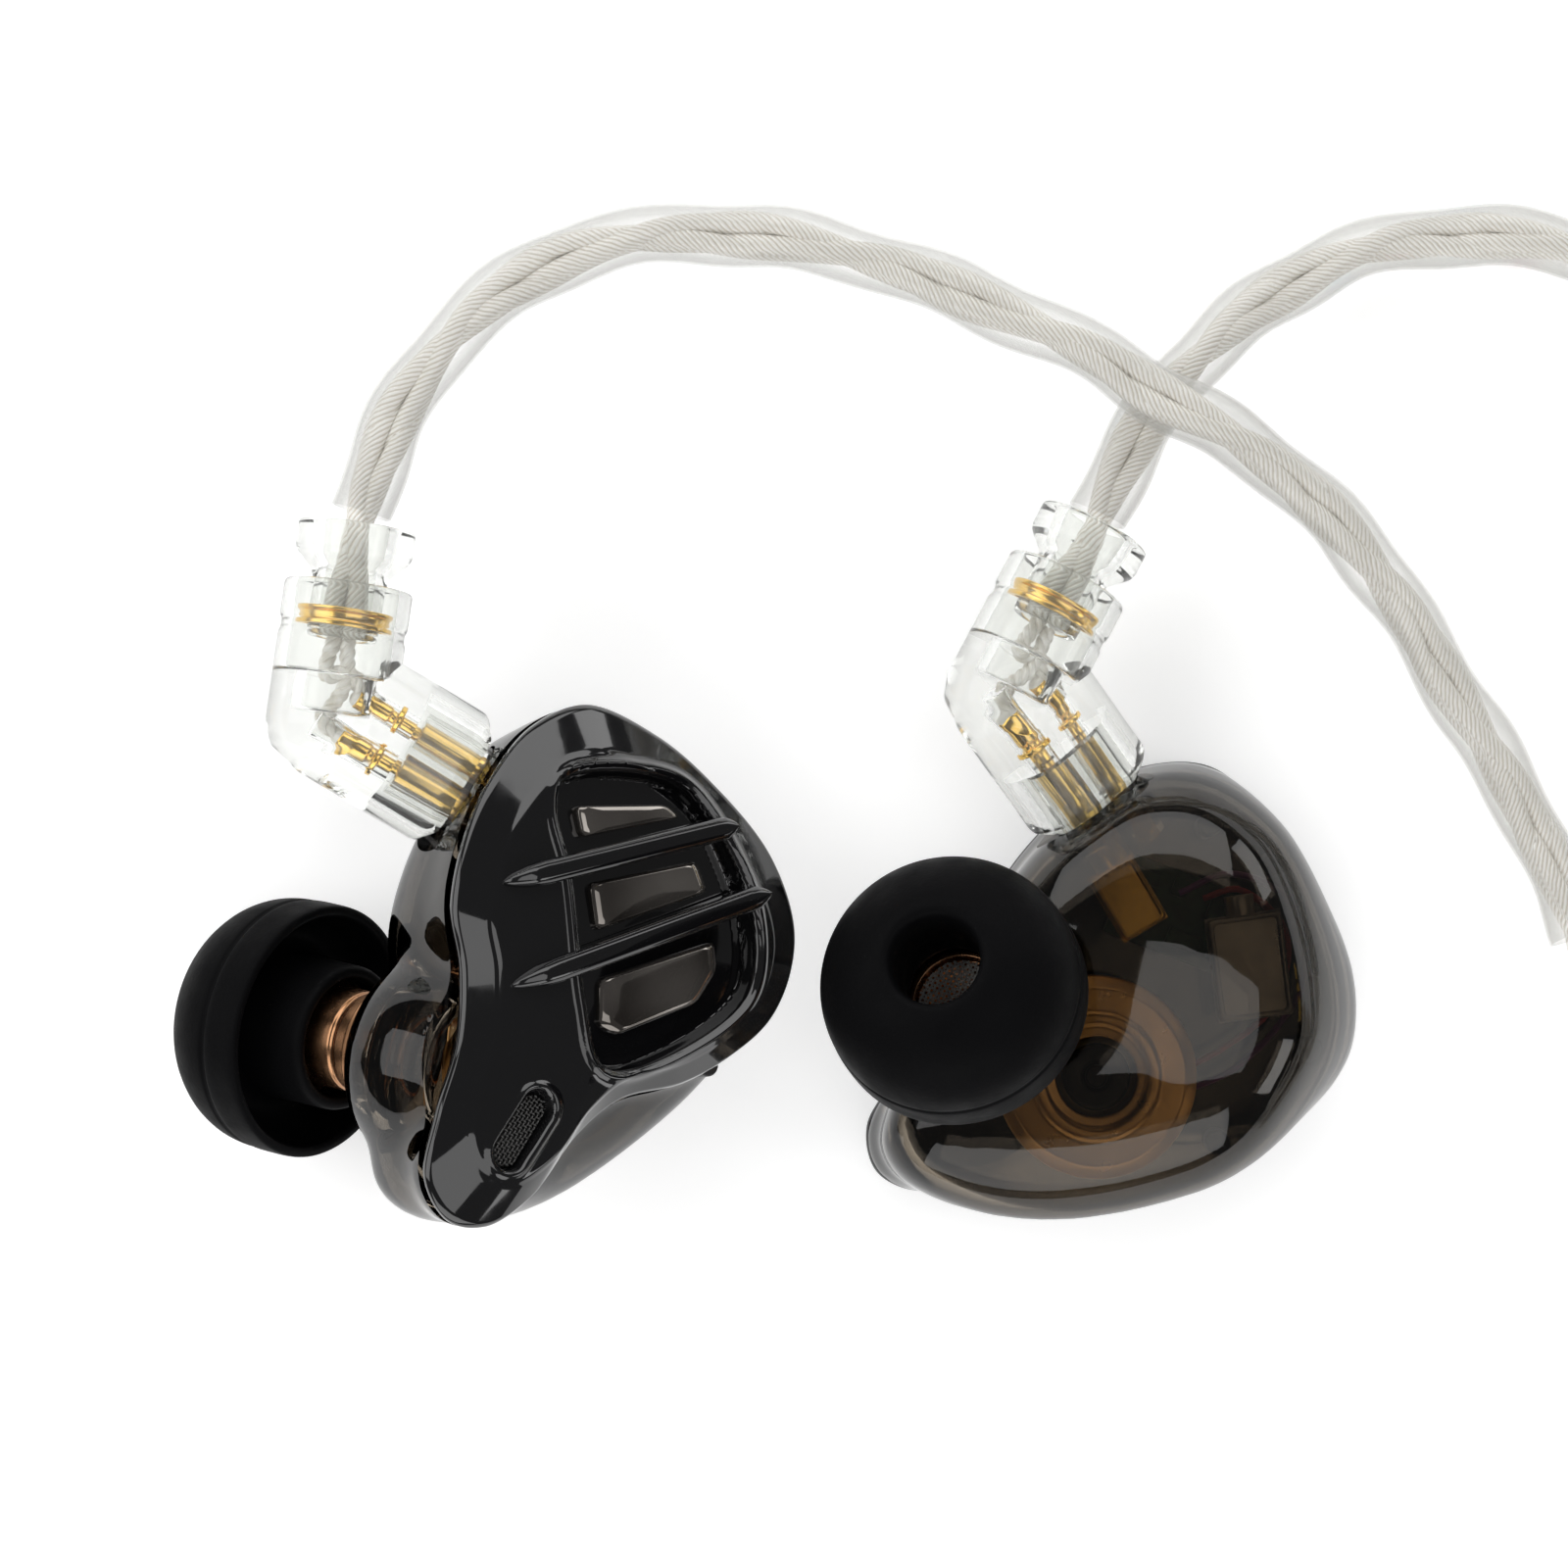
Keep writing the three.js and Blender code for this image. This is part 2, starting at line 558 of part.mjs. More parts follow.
function cablePieces() {
  const cord = [
    ["left_ear_hook", LEFT_HOOK_ROUTE, SLEEVE_DIAMETER],
    ["left_cable_lead", LEFT_LEAD_ROUTE, BRANCH_DIAMETER],
    ["left_cable_tail", inCoil(LEFT_TAIL_ROUTE), BRANCH_DIAMETER],
    ["right_ear_hook", RIGHT_HOOK_ROUTE, SLEEVE_DIAMETER],
    ["right_cable_lead", RIGHT_LEAD_ROUTE, BRANCH_DIAMETER],
    ["right_cable_tail", inCoil(RIGHT_TAIL_ROUTE), BRANCH_DIAMETER],
    ["main_cable_lead", inCoil(MAIN_LEAD_ROUTE), MAIN_DIAMETER],
    ["main_cable_tail", inCoil(MAIN_TAIL_ROUTE), MAIN_DIAMETER],
  ];
  return [
    ...cord.map(([name, route, diameter]) => piece(name, tube(route, diameter), "silver_braid")),
    piece("branch_coil", onCoil(cut(coilRing(BRANCH_COIL), tieLoop(0.25))), "silver_braid"),
    piece("main_coil", onCoil(coilRing(MAIN_COIL)), "silver_braid"),
    piece("splitter", splitter(), "black_plastic"),
    piece("cable_tie", onCoil(tieLoop(0)), "black_plastic"),
  ];
}

/** The plug, turned about its own axis, which points along +Y on top of the coil. */
function plugPieces() {
  const parts = {
    plug_relief: [[[0, 0], [1.7, 0], [2.4, 6.7], [0, 6.7]], "black_plastic"],
    plug_barrel: [
      [[0, 7], [2.6, 7], [3, 7.6], [3, 19.4], [2.7, 20], [0, 20]],
      "dark_metal",
    ],
    plug_sleeve: [
      [[1, 20.3], [2.3, 20.3], [2.3, 21], [1.75, 21], [1.75, 27.5], [1, 27.5], [1, 20.3]],
      "gold",
    ],
    plug_insulator: [
      [
        [0, 20.6], [0.7, 20.6], [0.7, 27.8], [1.65, 27.8], [1.65, 28.2], [0.7, 28.2], [0.7, 30.4],
        [1.65, 30.4], [1.65, 30.8], [0.7, 30.8], [0.7, 32], [0, 32],
      ],
      "black_plastic",
    ],
    plug_ring: [[[1, 28.5], [1.75, 28.5], [1.75, 30.1], [1, 30.1], [1, 28.5]], "gold"],
    plug_tip: [
      [
        [1, 31.1], [1.75, 31.1], [1.75, 31.6], [1.25, 32.6], [1.65, 33.4], [0.5, 34.6], [0, 34.6],
        [0, 32.3], [1, 32.3], [1, 31.1],
      ],
      "gold",
    ],
  };
  return Object.entries(parts).map(([name, [profile, look]]) => {
    const solid = aim(turned(profile), PLUG, new THREE.Vector3(0, 1, 0), new THREE.Vector3(0, 0, 1));
    return piece(name, onCoil(solid), look);
  });
}

// ---- The pair on the table ----

const left = earpiece("left");
left.position.copy(LEFT_PLACE);
left.quaternion.setFromUnitVectors(new THREE.Vector3(0, 0, 1), LEFT_FACES.clone().normalize());

const right = earpiece("right");
right.position.copy(RIGHT_PLACE);
right.rotation.z = RIGHT_SPIN;
right.scale.z = -1;

const group = new THREE.Group();
group.name = "in_ear_monitors";
group.position.set(...TO_MIDDLE, 0);
group.add(left, right, ...cablePieces(), ...plugPieces());

export default group;
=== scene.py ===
import math

import bpy
import numpy as np
from mathutils import Matrix, Vector


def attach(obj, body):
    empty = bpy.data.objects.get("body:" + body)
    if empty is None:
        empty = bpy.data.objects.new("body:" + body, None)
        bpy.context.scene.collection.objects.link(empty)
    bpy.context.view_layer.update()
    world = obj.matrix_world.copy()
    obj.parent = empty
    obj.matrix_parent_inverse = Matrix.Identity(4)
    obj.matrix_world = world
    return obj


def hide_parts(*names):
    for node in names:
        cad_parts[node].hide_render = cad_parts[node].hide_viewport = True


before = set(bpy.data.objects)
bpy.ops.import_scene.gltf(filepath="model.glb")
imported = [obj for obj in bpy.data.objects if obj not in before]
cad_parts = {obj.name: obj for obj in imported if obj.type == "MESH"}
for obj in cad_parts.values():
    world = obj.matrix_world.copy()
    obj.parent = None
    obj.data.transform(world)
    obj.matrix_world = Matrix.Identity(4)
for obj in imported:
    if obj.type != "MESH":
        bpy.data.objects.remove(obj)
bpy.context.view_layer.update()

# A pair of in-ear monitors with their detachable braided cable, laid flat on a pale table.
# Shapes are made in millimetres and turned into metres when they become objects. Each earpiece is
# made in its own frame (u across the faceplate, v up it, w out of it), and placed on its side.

MM = 0.001
TURN = 2 * math.pi

# ---- Driving dimensions, in millimetres ----

TO_MIDDLE = Vector((-0.4, -0.2, 0.0))
LEFT_PLACE = Vector((-7.3, -3.9, 13.71))
LEFT_FACES = Vector((0.55, 0.1, 0.83))
FIN_HEIGHT = 0.9
RIGHT_PLACE = Vector((18.3, -6.3, FIN_HEIGHT))
RIGHT_SPIN = math.radians(-21)

FACE_OUTLINE = [
    (-0.2, 11.9), (-3.2, 10.8), (-5.2, 8.8), (-6.9, 6.0), (-8.0, 2.0), (-7.6, -1.0), (-7.9, -4.4),
    (-9.1, -7.8), (-9.8, -10.9), (-8.6, -12.9), (-6.6, -13.2), (-4.2, -11.9), (-1.6, -9.0),
    (1.0, -7.2), (4.6, -6.4), (7.4, -5.1), (9.8, -3.3), (11.1, -1.0), (11.4, 1.5), (10.1, 4.9),
    (7.0, 8.2), (3.8, 10.5),
]
SHELL_OUTLINE = [
    (0.1, 11.8), (-3.0, 10.8), (-5.0, 8.6), (-6.8, 5.3), (-7.7, 2.0), (-7.4, -1.6), (-8.0, -5.2),
    (-9.0, -8.9), (-8.9, -11.1), (-7.6, -12.4), (-5.5, -12.9), (-2.6, -12.8), (0.4, -12.0),
    (3.3, -10.6), (6.0, -8.8), (8.2, -6.9), (9.8, -4.4), (10.7, -0.4), (10.6, 2.2), (8.7, 6.1),
    (5.9, 9.5), (3.8, 11.0),
]
BEAN_CENTRE = np.array([0.9, -1.6])
PLATE_BACK = -1.7
SHELL_FRONT = -2.0
SKIN_VOXEL = 0.3
DEEP_LEAN = np.array([-0.8, -0.6])  # how far the shell's inner end leans towards the ear canal

WINDOW_OUTLINE = [
    (-2.6, 6.6), (-2.0, 3.8), (-1.4, -2.6), (-0.7, -5.4), (0.8, -5.8), (6.3, -3.5), (8.1, -1.7),
    (8.4, 1.5), (6.4, 6.3), (4.3, 8.2), (-2.1, 8.1),
]
WINDOW_DEPTH = 1.1
PANES = [
    [(-1.3, 6.9), (-1.0, 5.4), (4.7, 6.5), (3.9, 7.1)],
    [(-0.6, 3.2), (-0.3, 0.9), (6.1, 2.9), (5.5, 4.4)],
    [(-0.2, -1.4), (-0.3, -3.6), (0.7, -4.1), (5.3, -2.5), (6.5, -0.9), (6.4, 0.5)],
]
FINS = [((-5.8, 3.05), (7.1, 6.05)), ((-5.5, -1.87), (8.9, 2.8))]
FIN_WIDTH = 1.2
FIN_FOOT = -0.6
VENT_CENTRE = (-5.0, -8.7)
VENT_LENGTH = 4.3
VENT_WIDTH = 1.7
VENT_TURN = math.radians(53.5)

NOZZLE_BASE = Vector((-6.5, -4.4, -9.0))
NOZZLE_AXIS = Vector((-0.326, 0.236, -0.916)).normalized()
TIP_BACK = 5.2           # from the snout's end to the rim of the tip's skirt

HOOD_END = Vector((-5.1, 8.2, -4.7))
OUT = Vector((-0.82, 0.53, -0.3)).normalized()
UP = Vector((0.12, 0.985, 0.12)).normalized()
PIN_SIDE = (UP - OUT * UP.dot(OUT)).normalized()
ELBOW = HOOD_END + OUT * 7.4
PIN_PITCH = 1.9
SOLDER_CUP = 5.9         # from the plug's face to the cups of its pins

DRIVER_CENTRE = Vector((-0.4, -4.4, -7.7))
DRIVER_RADIUS = 4.9
WIRE_RADIUS = 0.16

SLEEVE_DIAMETER = 3.0
SLEEVE_WALL = 0.12
BRANCH_DIAMETER = 2.2
BRANCH_PITCH = 21.0      # one turn of the plait
MAIN_DIAMETER = 2.6
MAIN_PITCH = 24.0
RING_STEP = 0.45         # along a strand
STRAND_GIRTH = 2.8       # in the UVs of a strand
LEFT_HOOK_ROUTE = [
    (-19.3, 17.1, 12.2), (-18.7, 19.0, 12.1), (-17.7, 21.5, 12.0), (-16.1, 24.1, 11.8),
    (-14.1, 26.5, 11.5), (-11.3, 28.6, 11.1), (-8.3, 30.0, 10.7), (-4.2, 30.7, 10.3),
    (0.1, 30.6, 10.1), (3.9, 29.9, 9.8), (7.3, 28.9, 9.6), (10.6, 27.5, 9.5), (13.6, 26.2, 9.5),
    (16.6, 24.7, 9.6), (19.4, 22.9, 9.5), (23.1, 20.9, 8.8), (26.1, 18.8, 7.8), (28.7, 16.4, 6.5),
    (30.9, 13.8, 5.3), (32.9, 10.9, 4.1), (34.7, 8.1, 3.2), (36.3, 5.6, 2.6), (38.0, 2.8, 2.2),
    (39.5, -0.1, 2.0), (40.9, -3.5, 1.9),
]
LEFT_LEAD_ROUTE = [
    (42.7, -8.4, 1.9), (44.7, -13.4, 1.9), (47.0, -18.6, 2.0), (49.4, -23.4, 2.4),
    (51.7, -27.4, 2.9),
]
RIGHT_HOOK_ROUTE = [
    (16.5, 17.2, 6.7), (17.5, 19.2, 6.5), (18.7, 21.4, 6.2), (20.2, 23.6, 5.8), (22.0, 25.5, 5.2),
    (23.8, 27.1, 4.5), (26.1, 28.7, 3.7), (29.1, 30.3, 2.7), (32.6, 31.2, 2.1), (36.2, 31.4, 1.7),
    (40.0, 30.9, 1.6), (43.8, 29.3, 1.6), (47.2, 26.4, 1.6), (49.7, 22.4, 1.6), (51.1, 17.6, 1.6),
    (51.6, 12.0, 1.6), (51.5, 6.0, 1.6), (51.3, 0.0, 1.6), (51.2, -6.0, 1.6), (51.2, -12.5, 1.6),
]
RIGHT_LEAD_ROUTE = [(51.2, -17.0, 1.4), (51.2, -21.0, 1.2)]

COIL = Vector((74.0, -26.0, 0.0))
RIGHT_TAIL_ROUTE = [(11.6, 4.3, 1.6), (8.9, 5.7, 1.7), (7.5, 6.7, 1.7), (5.8, 7.3, 1.7)]
LEFT_TAIL_ROUTE = [(10.7, 3.9, 3.7), (8.7, 5.2, 3.9), (7.4, 6.4, 3.9), (5.8, 7.2, 3.9)]
MAIN_LEAD_ROUTE = [
    (-5.4, 7.2, 2.85), (-7.3, 6.6, 3.2), (-8.6, 5.7, 3.8), (-9.9, 3.7, 4.9), (-10.7, 1.0, 5.7),
]
MAIN_TAIL_ROUTE = [
    (-3.4, -14.2, 11.15), (-0.2, -14.1, 11.7), (3.2, -12.9, 12.3), (6.2, -10.2, 12.8),
    (7.8, -6.8, 12.8), (8.0, -3.9, 12.8),
]
PLUG = Vector((8.0, -4.0, 12.8))
TIE_TURN = math.radians(-45)

CAMERA_PLACE = Vector((0.7, 3.8, 300.0))
LENS = 137.0
LIT = Vector((0.01, 0.0, 0.005))  # where the lamps point, in metres

# ---- Materials ----


def look(name, colour, roughness, metallic=0.0, **inputs):
    """A Principled material. Other inputs are given with their names in lower case."""
    made = bpy.data.materials.new(name)
    made.use_nodes = True
    shader = made.node_tree.nodes["Principled BSDF"]
    shader.inputs["Base Color"].default_value = (*colour, 1)
    shader.inputs["Roughness"].default_value = roughness
    shader.inputs["Metallic"].default_value = metallic
    for key, value in inputs.items():
        shader.inputs[key.replace("_", " ").title().replace("Ior", "IOR")].default_value = value
    return made


def add(made, kind, **inputs):
    """A node in a material, with values for its sockets."""
    new = made.node_tree.nodes.new("ShaderNode" + kind)
    for key, value in inputs.items():
        new.inputs[key.replace("_", " ").title()].default_value = value
    return new


def wire(made, start, end):
    made.node_tree.links.new(start, end)


def shader_of(made):
    return made.node_tree.nodes["Principled BSDF"]


def place_of(made, by="Object"):
    return add(made, "TexCoord").outputs[by]


def noise_in(made, scale, detail):
    """Noise in the piece's own space. The scale is features per metre."""
    noise = add(made, "TexNoise", scale=scale, detail=detail)
    wire(made, place_of(made), noise.inputs["Vector"])
    return noise.outputs["Fac"]


def bumped(made, source, height, strength=1.0):
    """Relief that follows a source. The height is in metres."""
    bump = add(made, "Bump", strength=strength, distance=height)
    wire(made, source, bump.inputs["Height"])
    wire(made, bump.outputs["Normal"], shader_of(made).inputs["Normal"])


def ramp(made, source, low, high, socket, start=0.3, end=0.7):
    """Blends a socket between two values or colours as a source runs from start to end."""
    blend = add(made, "MapRange")
    names = ["Value", "From Min", "From Max", "To Min", "To Max", "Result"]
    if isinstance(low, tuple):
        blend.data_type = "FLOAT_VECTOR"
        names = ["Vector", "From_Min_FLOAT3", "From_Max_FLOAT3", "To_Min_FLOAT3", "To_Max_FLOAT3",
                 "Vector"]
        start, end = (start,) * 3, (end,) * 3
    inputs = {port.identifier: port for port in blend.inputs}
    outputs = {port.identifier: port for port in blend.outputs}
    for name, value in zip(names[1:5], (start, end, low, high)):
        inputs[name].default_value = value
    wire(made, source, inputs[names[0]])
    wire(made, outputs[names[5]], shader_of(made).inputs[socket])


def slanted(made, blend, facing, edge, socket, start=0.0, end=1.0):
    """Blends a socket from its value seen straight on to its value seen at a slant."""
    weight = add(made, "LayerWeight", blend=blend)
    ramp(made, weight.outputs["Facing"], facing, edge, socket, start, end)


def grain(made, scale, height, detail=3.0):
    """A fine bump from noise."""
    bumped(made, noise_in(made, scale, detail), height)


def mottle(made, scale, dark, light):
    """Soft variation of colour."""
    ramp(made, noise_in(made, scale, 2.0), dark, light, "Base Color")


def wear(made, scale, low, high):
    """Soft variation of roughness, as handling leaves."""
    ramp(made, noise_in(made, scale, 4.0), low, high, "Roughness")


def gloss_black():
    made = look("gloss_black", (0.004, 0.004, 0.0045), 0.05, coat_weight=0.5, coat_roughness=0.02)
    grain(made, 260, 0.000012)
    wear(made, 900, 0.04, 0.09)
    return made


def window_black():
    made = look("window_black", (0.2, 0.18, 0.16), 0.05, 0.85, coat_weight=0.6, coat_roughness=0.01)
    mottle(made, 160, (0.07, 0.06, 0.052), (0.36, 0.33, 0.3))
    return made


def smoke():
    """Deep brown tinted resin, less of a mirror at a slant, with painted shade near black there."""
    made = look("smoke", (0.2, 0.17, 0.13), 0.02, ior=1.42, transmission_weight=1.0)
    # Painted shade: near black colour where the shell is seen at a slant, for its dark rim.
    slanted(made, 0.45, (0.29, 0.245, 0.19), (0.012, 0.01, 0.008), "Base Color", 0.08, 0.45)
    slanted(made, 0.45, 1.42, 1.15, "IOR", 0.5, 0.95)
    grain(made, 200, 0.00002, 1.0)
    wear(made, 300, 0.01, 0.04)
    return made


def metal(name, colour, roughness):
    made = look(name, colour, roughness, 1.0)
    grain(made, 3000, 0.000004)
    wear(made, 700, roughness - 0.04, roughness + 0.08)
    return made


def silicone():
    made = look("silicone", (0.003, 0.003, 0.0034), 0.5, specular_ior_level=0.03)
    grain(made, 5200, 0.000012, 5.0)
    wear(made, 600, 0.42, 0.6)
    return made


def clear_plastic():
    made = look("clear_plastic", (0.93, 0.94, 0.92), 0.02, ior=1.33, transmission_weight=0.95)
    # Painted shade: grey colour where the plastic is seen at a slant, for its darker edges.
    slanted(made, 0.4, (0.94, 0.95, 0.93), (0.42, 0.43, 0.4), "Base Color", 0.3)
    grain(made, 350, 0.00001, 1.0)
    return made


def clear_sleeve():
    """A clear skin that shows more of itself where it is seen at a slant."""
    made = look("clear_sleeve", (0.5, 0.5, 0.47), 0.07, ior=1.5, coat_weight=0.8)
    grain(made, 500, 0.00003, 2.0)
    slanted(made, 0.35, 0.08, 0.6, "Alpha")
    return made


def braid_look(name, dark, light):
    """Strands of fine plated wires, laid at a slant round each strand."""
    made = look(name, light, 0.36, 0.15, coat_weight=0.3, coat_roughness=0.2)
    slant = add(made, "Mapping")
    slant.inputs["Rotation"].default_value = (0, 0, math.radians(38))
    wire(made, place_of(made, "UV"), slant.inputs["Vector"])
    wires = add(made, "TexWave", scale=1.5, distortion=1.8, detail=1.0)
    wire(made, slant.outputs["Vector"], wires.inputs["Vector"])
    bumped(made, wires.outputs["Fac"], 0.00004)
    # Painted shade: the low grooves between the wires are coloured darker than the wires.
    ramp(made, wires.outputs["Fac"], dark, light, "Base Color", 0.0, 0.6)
    return made


def bare_wire():
    made = look("solder", (0.95, 0.93, 0.88), 0.35, 0.1)
    mottle(made, 1800, (0.74, 0.7, 0.62), (1.0, 0.98, 0.95))
    return made


def paint(name, colour):
    """A plain colour with a fine grain."""
    made = look(name, colour, 0.4)
    grain(made, 4000, 0.00001)
    return made


def woven_nylon():
    made = look("woven_nylon", (0.012, 0.012, 0.013), 0.75, sheen_weight=0.3)
    weave = add(made, "TexVoronoi", scale=2600)
    wire(made, place_of(made), weave.inputs["Vector"])
    bumped(made, weave.outputs["Distance"], 0.00012, 0.8)
    return made


def circuit_board():
    made = look("circuit_board", (0.01, 0.05, 0.025), 0.35)
    mottle(made, 1500, (0.006, 0.03, 0.016), (0.014, 0.07, 0.035))
    return made


def plain_plastic():
    made = look("plain_plastic", (0.012, 0.012, 0.013), 0.4)
    grain(made, 6000, 0.00001, 4.0)
    return made


def floor_look():
    made = look("floor", (0.93, 0.93, 0.93), 0.8, specular_ior_level=0.1)
    shader_of(made).inputs["Emission Color"].default_value = (1, 1, 1, 1)
    shader_of(made).inputs["Emission Strength"].default_value = 0.36
    mottle(made, 30, (0.92, 0.92, 0.92), (0.94, 0.94, 0.94))
    return made


LOOKS = {
    "gloss_black": gloss_black(),
    "window_black": window_black(),
    "smoke": smoke(),
    "bronze": metal("bronze", (0.42, 0.22, 0.115), 0.24),
    "steel_mesh": metal("steel_mesh", (0.1, 0.098, 0.096), 0.42),
    "steel": metal("steel", (0.36, 0.355, 0.35), 0.3),
    "gold": metal("gold", (0.82, 0.53, 0.13), 0.18),
    "silicone": silicone(),
    "clear": clear_plastic(),
    "copper": metal("copper", (0.95, 0.62, 0.29), 0.3),
    "dark_metal": metal("dark_metal", (0.035, 0.035, 0.038), 0.35),
    "film": metal("film", (0.8, 0.66, 0.42), 0.35),
    "board": circuit_board(),
    "sleeve": clear_sleeve(),
    # The braid's darker colour is painted shade in the grooves between its wires.
    "silver_braid": braid_look("silver_braid", (0.66, 0.6, 0.51), (1.0, 0.985, 0.94)),
    "black_plastic": plain_plastic(),
    "nylon": woven_nylon(),
    "solder": bare_wire(),
    "screen": paint("screen", (0.62, 0.61, 0.59)),
    "blue_mark": paint("blue_mark", (0.03, 0.35, 0.62)),
    "red_mark": paint("red_mark", (0.42, 0.06, 0.1)),
    "red_wire": paint("red_wire", (0.35, 0.03, 0.04)),
    "violet_wire": paint("violet_wire", (0.16, 0.05, 0.22)),
}

# ---- Shapes: a shape is an array of points and a list of faces ----


def together(*shapes):
    """Several shapes as one."""
    points = np.vstack([shape[0] for shape in shapes])
    faces = []
    start = 0
    for shape_points, shape_faces in shapes:
        faces += [tuple(start + corner for corner in face) for face in shape_faces]
        start += len(shape_points)
    return points, faces


def moved(shape, matrix):
    points, faces = shape
    turn = np.array(matrix.to_3x3())
    return points @ turn.T + np.array(matrix.translation), faces


def aim(origin, direction, near=Vector((0, 1, 0))):
    """The matrix that turns +Z to a direction and +X as near as it can to another."""
    z = direction.normalized()
    x = (near - z * near.dot(z)).normalized()
    y = z.cross(x)
    rows = Matrix((x, y, z)).transposed().to_4x4()
    return Matrix.Translation(origin) @ rows


def even(line, count):
    """Points spaced evenly along a line."""
    steps = np.linalg.norm(np.diff(line, axis=0), axis=1)
    reach = np.concatenate([[0], np.cumsum(steps)])
    at = np.linspace(0, reach[-1], count)
    return np.stack([np.interp(at, reach, column) for column in line.T], axis=1)


def even_loop(loop, count):
    """Points spaced evenly round a closed outline."""
    return even(np.vstack([loop, loop[:1]]), count + 1)[:-1]


def length_of(line):
    return float(np.linalg.norm(np.diff(line, axis=0), axis=1).sum())


def curve(points, closed=False, steps=24):
    """A smooth line through the given points (a centripetal Catmull-Rom curve)."""
    points = np.asarray(points, float)
    if closed:
        row = np.vstack([points[-1], points, points[:2]])
    else:
        row = np.vstack([2 * points[0] - points[1], points, 2 * points[-1] - points[-2]])
    share = np.linspace(0, 1, steps, endpoint=False)[:, None]
    parts = []
    for a, b, c, d in zip(row, row[1:], row[2:], row[3:]):
        t1 = np.linalg.norm(b - a) ** 0.5
        t2 = t1 + np.linalg.norm(c - b) ** 0.5
        t3 = t2 + np.linalg.norm(d - c) ** 0.5
        t = t1 + (t2 - t1) * share
        ab = ((t1 - t) * a + t * b) / t1
        bc = ((t2 - t) * b + (t - t1) * c) / (t2 - t1)
        cd = ((t3 - t) * c + (t - t2) * d) / (t3 - t2)
        abc = ((t2 - t) * ab + t * bc) / t2
        bcd = ((t3 - t) * bc + (t - t1) * cd) / (t3 - t1)
        parts.append(((t2 - t) * abc + (t - t1) * bcd) / (t2 - t1))
    return np.vstack(parts + [row[-2:-1]])


def outline(points, count):
    return even(curve(points, closed=True), count + 1)[:-1]


def rounded(points, radius, closed=True, steps=5):
    """Rounds the corners of an outline or a profile."""
    points = np.asarray(points, float)
    count = len(points)
    out = []
    for i, here in enumerate(points):
        if not closed and i in (0, count - 1):
            out.append(here)
            continue
        back = points[i - 1] - here
        ahead = points[(i + 1) % count] - here
        back *= min(radius / np.linalg.norm(back), 0.45)
        ahead *= min(radius / np.linalg.norm(ahead), 0.45)
        for t in np.linspace(0, 1, steps):
            out.append(here + (1 - t) ** 2 * back + t**2 * ahead)
    return np.array(out)


def turned(rows, soft=0.1, segments=64):
    """A profile of (radius, height) rows turned about +Z, closed or ending on the axis."""
    closed = tuple(rows[0]) == tuple(rows[-1])
    profile = rounded(rows[:-1] if closed else rows, soft, closed)
    angle = np.linspace(0, TURN, segments, endpoint=False)
    points = []
    rings = []
    for r, z in profile:
        start = len(points)
        if r < 1e-6:
            points.append((0, 0, z))
            rings.append([start] * segments)
        else:
            points += [(r * math.cos(a), r * math.sin(a), z) for a in angle]
            rings.append(list(range(start, start + segments)))
    if closed:
        rings.append(rings[0])
    return np.array(points), bridged(rings)


def bridged(rings):
    """Faces between rings of point numbers. A ring may be one point repeated."""
    faces = []
    for low, high in zip(rings, rings[1:]):
        for j in range(len(low)):
            k = (j + 1) % len(low)
            face = []
            for corner in (low[j], low[k], high[k], high[j]):
                if corner not in face:
                    face.append(corner)
            if len(face) > 2:
                faces.append(tuple(face))
    return faces


def looped(rings):
    """A skin over rings of points, the last ring joined to the first."""
    count = len(rings[0])
    numbers = [list(range(i * count, (i + 1) * count)) for i in range(len(rings))]
    return np.vstack(rings), bridged(numbers + numbers[:1])


def stacked(rings):
    """A skin over rings of points, with a point to close each end."""
    count = len(rings[0])
    points = np.vstack([rings[0].mean(0)[None], *rings, rings[-1].mean(0)[None]])
    numbers = [[0] * count]
    numbers += [list(range(1 + i * count, 1 + (i + 1) * count)) for i in range(len(rings))]
    numbers.append([len(points) - 1] * count)
    return points, bridged(numbers)


def at_height(flat, height):
    """Points of an outline lifted to a height, or to a height each."""
    return np.column_stack([flat, np.broadcast_to(height, len(flat))])


def shrunk(flat, scale, centre=None):
    middle = flat.mean(0) if centre is None else centre
    return middle + scale * (flat - middle)


def oval(width, depth, count=64):
    """A slot-shaped outline: straight sides and round ends."""
    r = depth / 2
    half = width / 2 - r
    quarter = np.linspace(-math.pi / 2, math.pi / 2, count // 2)
    right = np.column_stack([half + r * np.cos(quarter), r * np.sin(quarter)])
    return np.vstack([right, -right])


def oval_bar(width, depth, rows):
    """An oval bar along +Z. A row is (inset, height)."""
    rows = rounded(rows, 0.35, closed=False)
    return stacked([at_height(oval(width - 2 * inset, depth - 2 * inset), z) for inset, z in rows])


def box_shape(width, length, height, soft=0.15):
    """A box with rounded edges, its middle at the origin."""
    flat = rounded([(-1, -1), (1, -1), (1, 1), (-1, 1)] * np.array([width / 2, length / 2]), soft)
    half = height / 2
    rows = rounded([(soft, -half), (0, -half), (0, half), (soft, half)], soft)
    rings = []
    for inset, z in rows[2:-2]:
        scale = 1 - 2 * max(inset, 0) / np.array([width, length])
        rings.append(at_height(flat * scale, z))
    return stacked(rings)


def frames(path):
    """Two unit vectors across a path at each of its points, which twist as little as they can."""
    ahead = np.gradient(path, axis=0)
    ahead /= np.linalg.norm(ahead, axis=1)[:, None]
    side = np.empty_like(path)
    last = np.cross(ahead[0], (0.0, 0.0, 1.0))
    if np.linalg.norm(last) < 0.1:
        last = np.cross(ahead[0], (1.0, 0.0, 0.0))
    for i, way in enumerate(ahead):
        last = last - way * (last @ way)
        last /= np.linalg.norm(last)
        side[i] = last
    return side, np.cross(ahead, side)


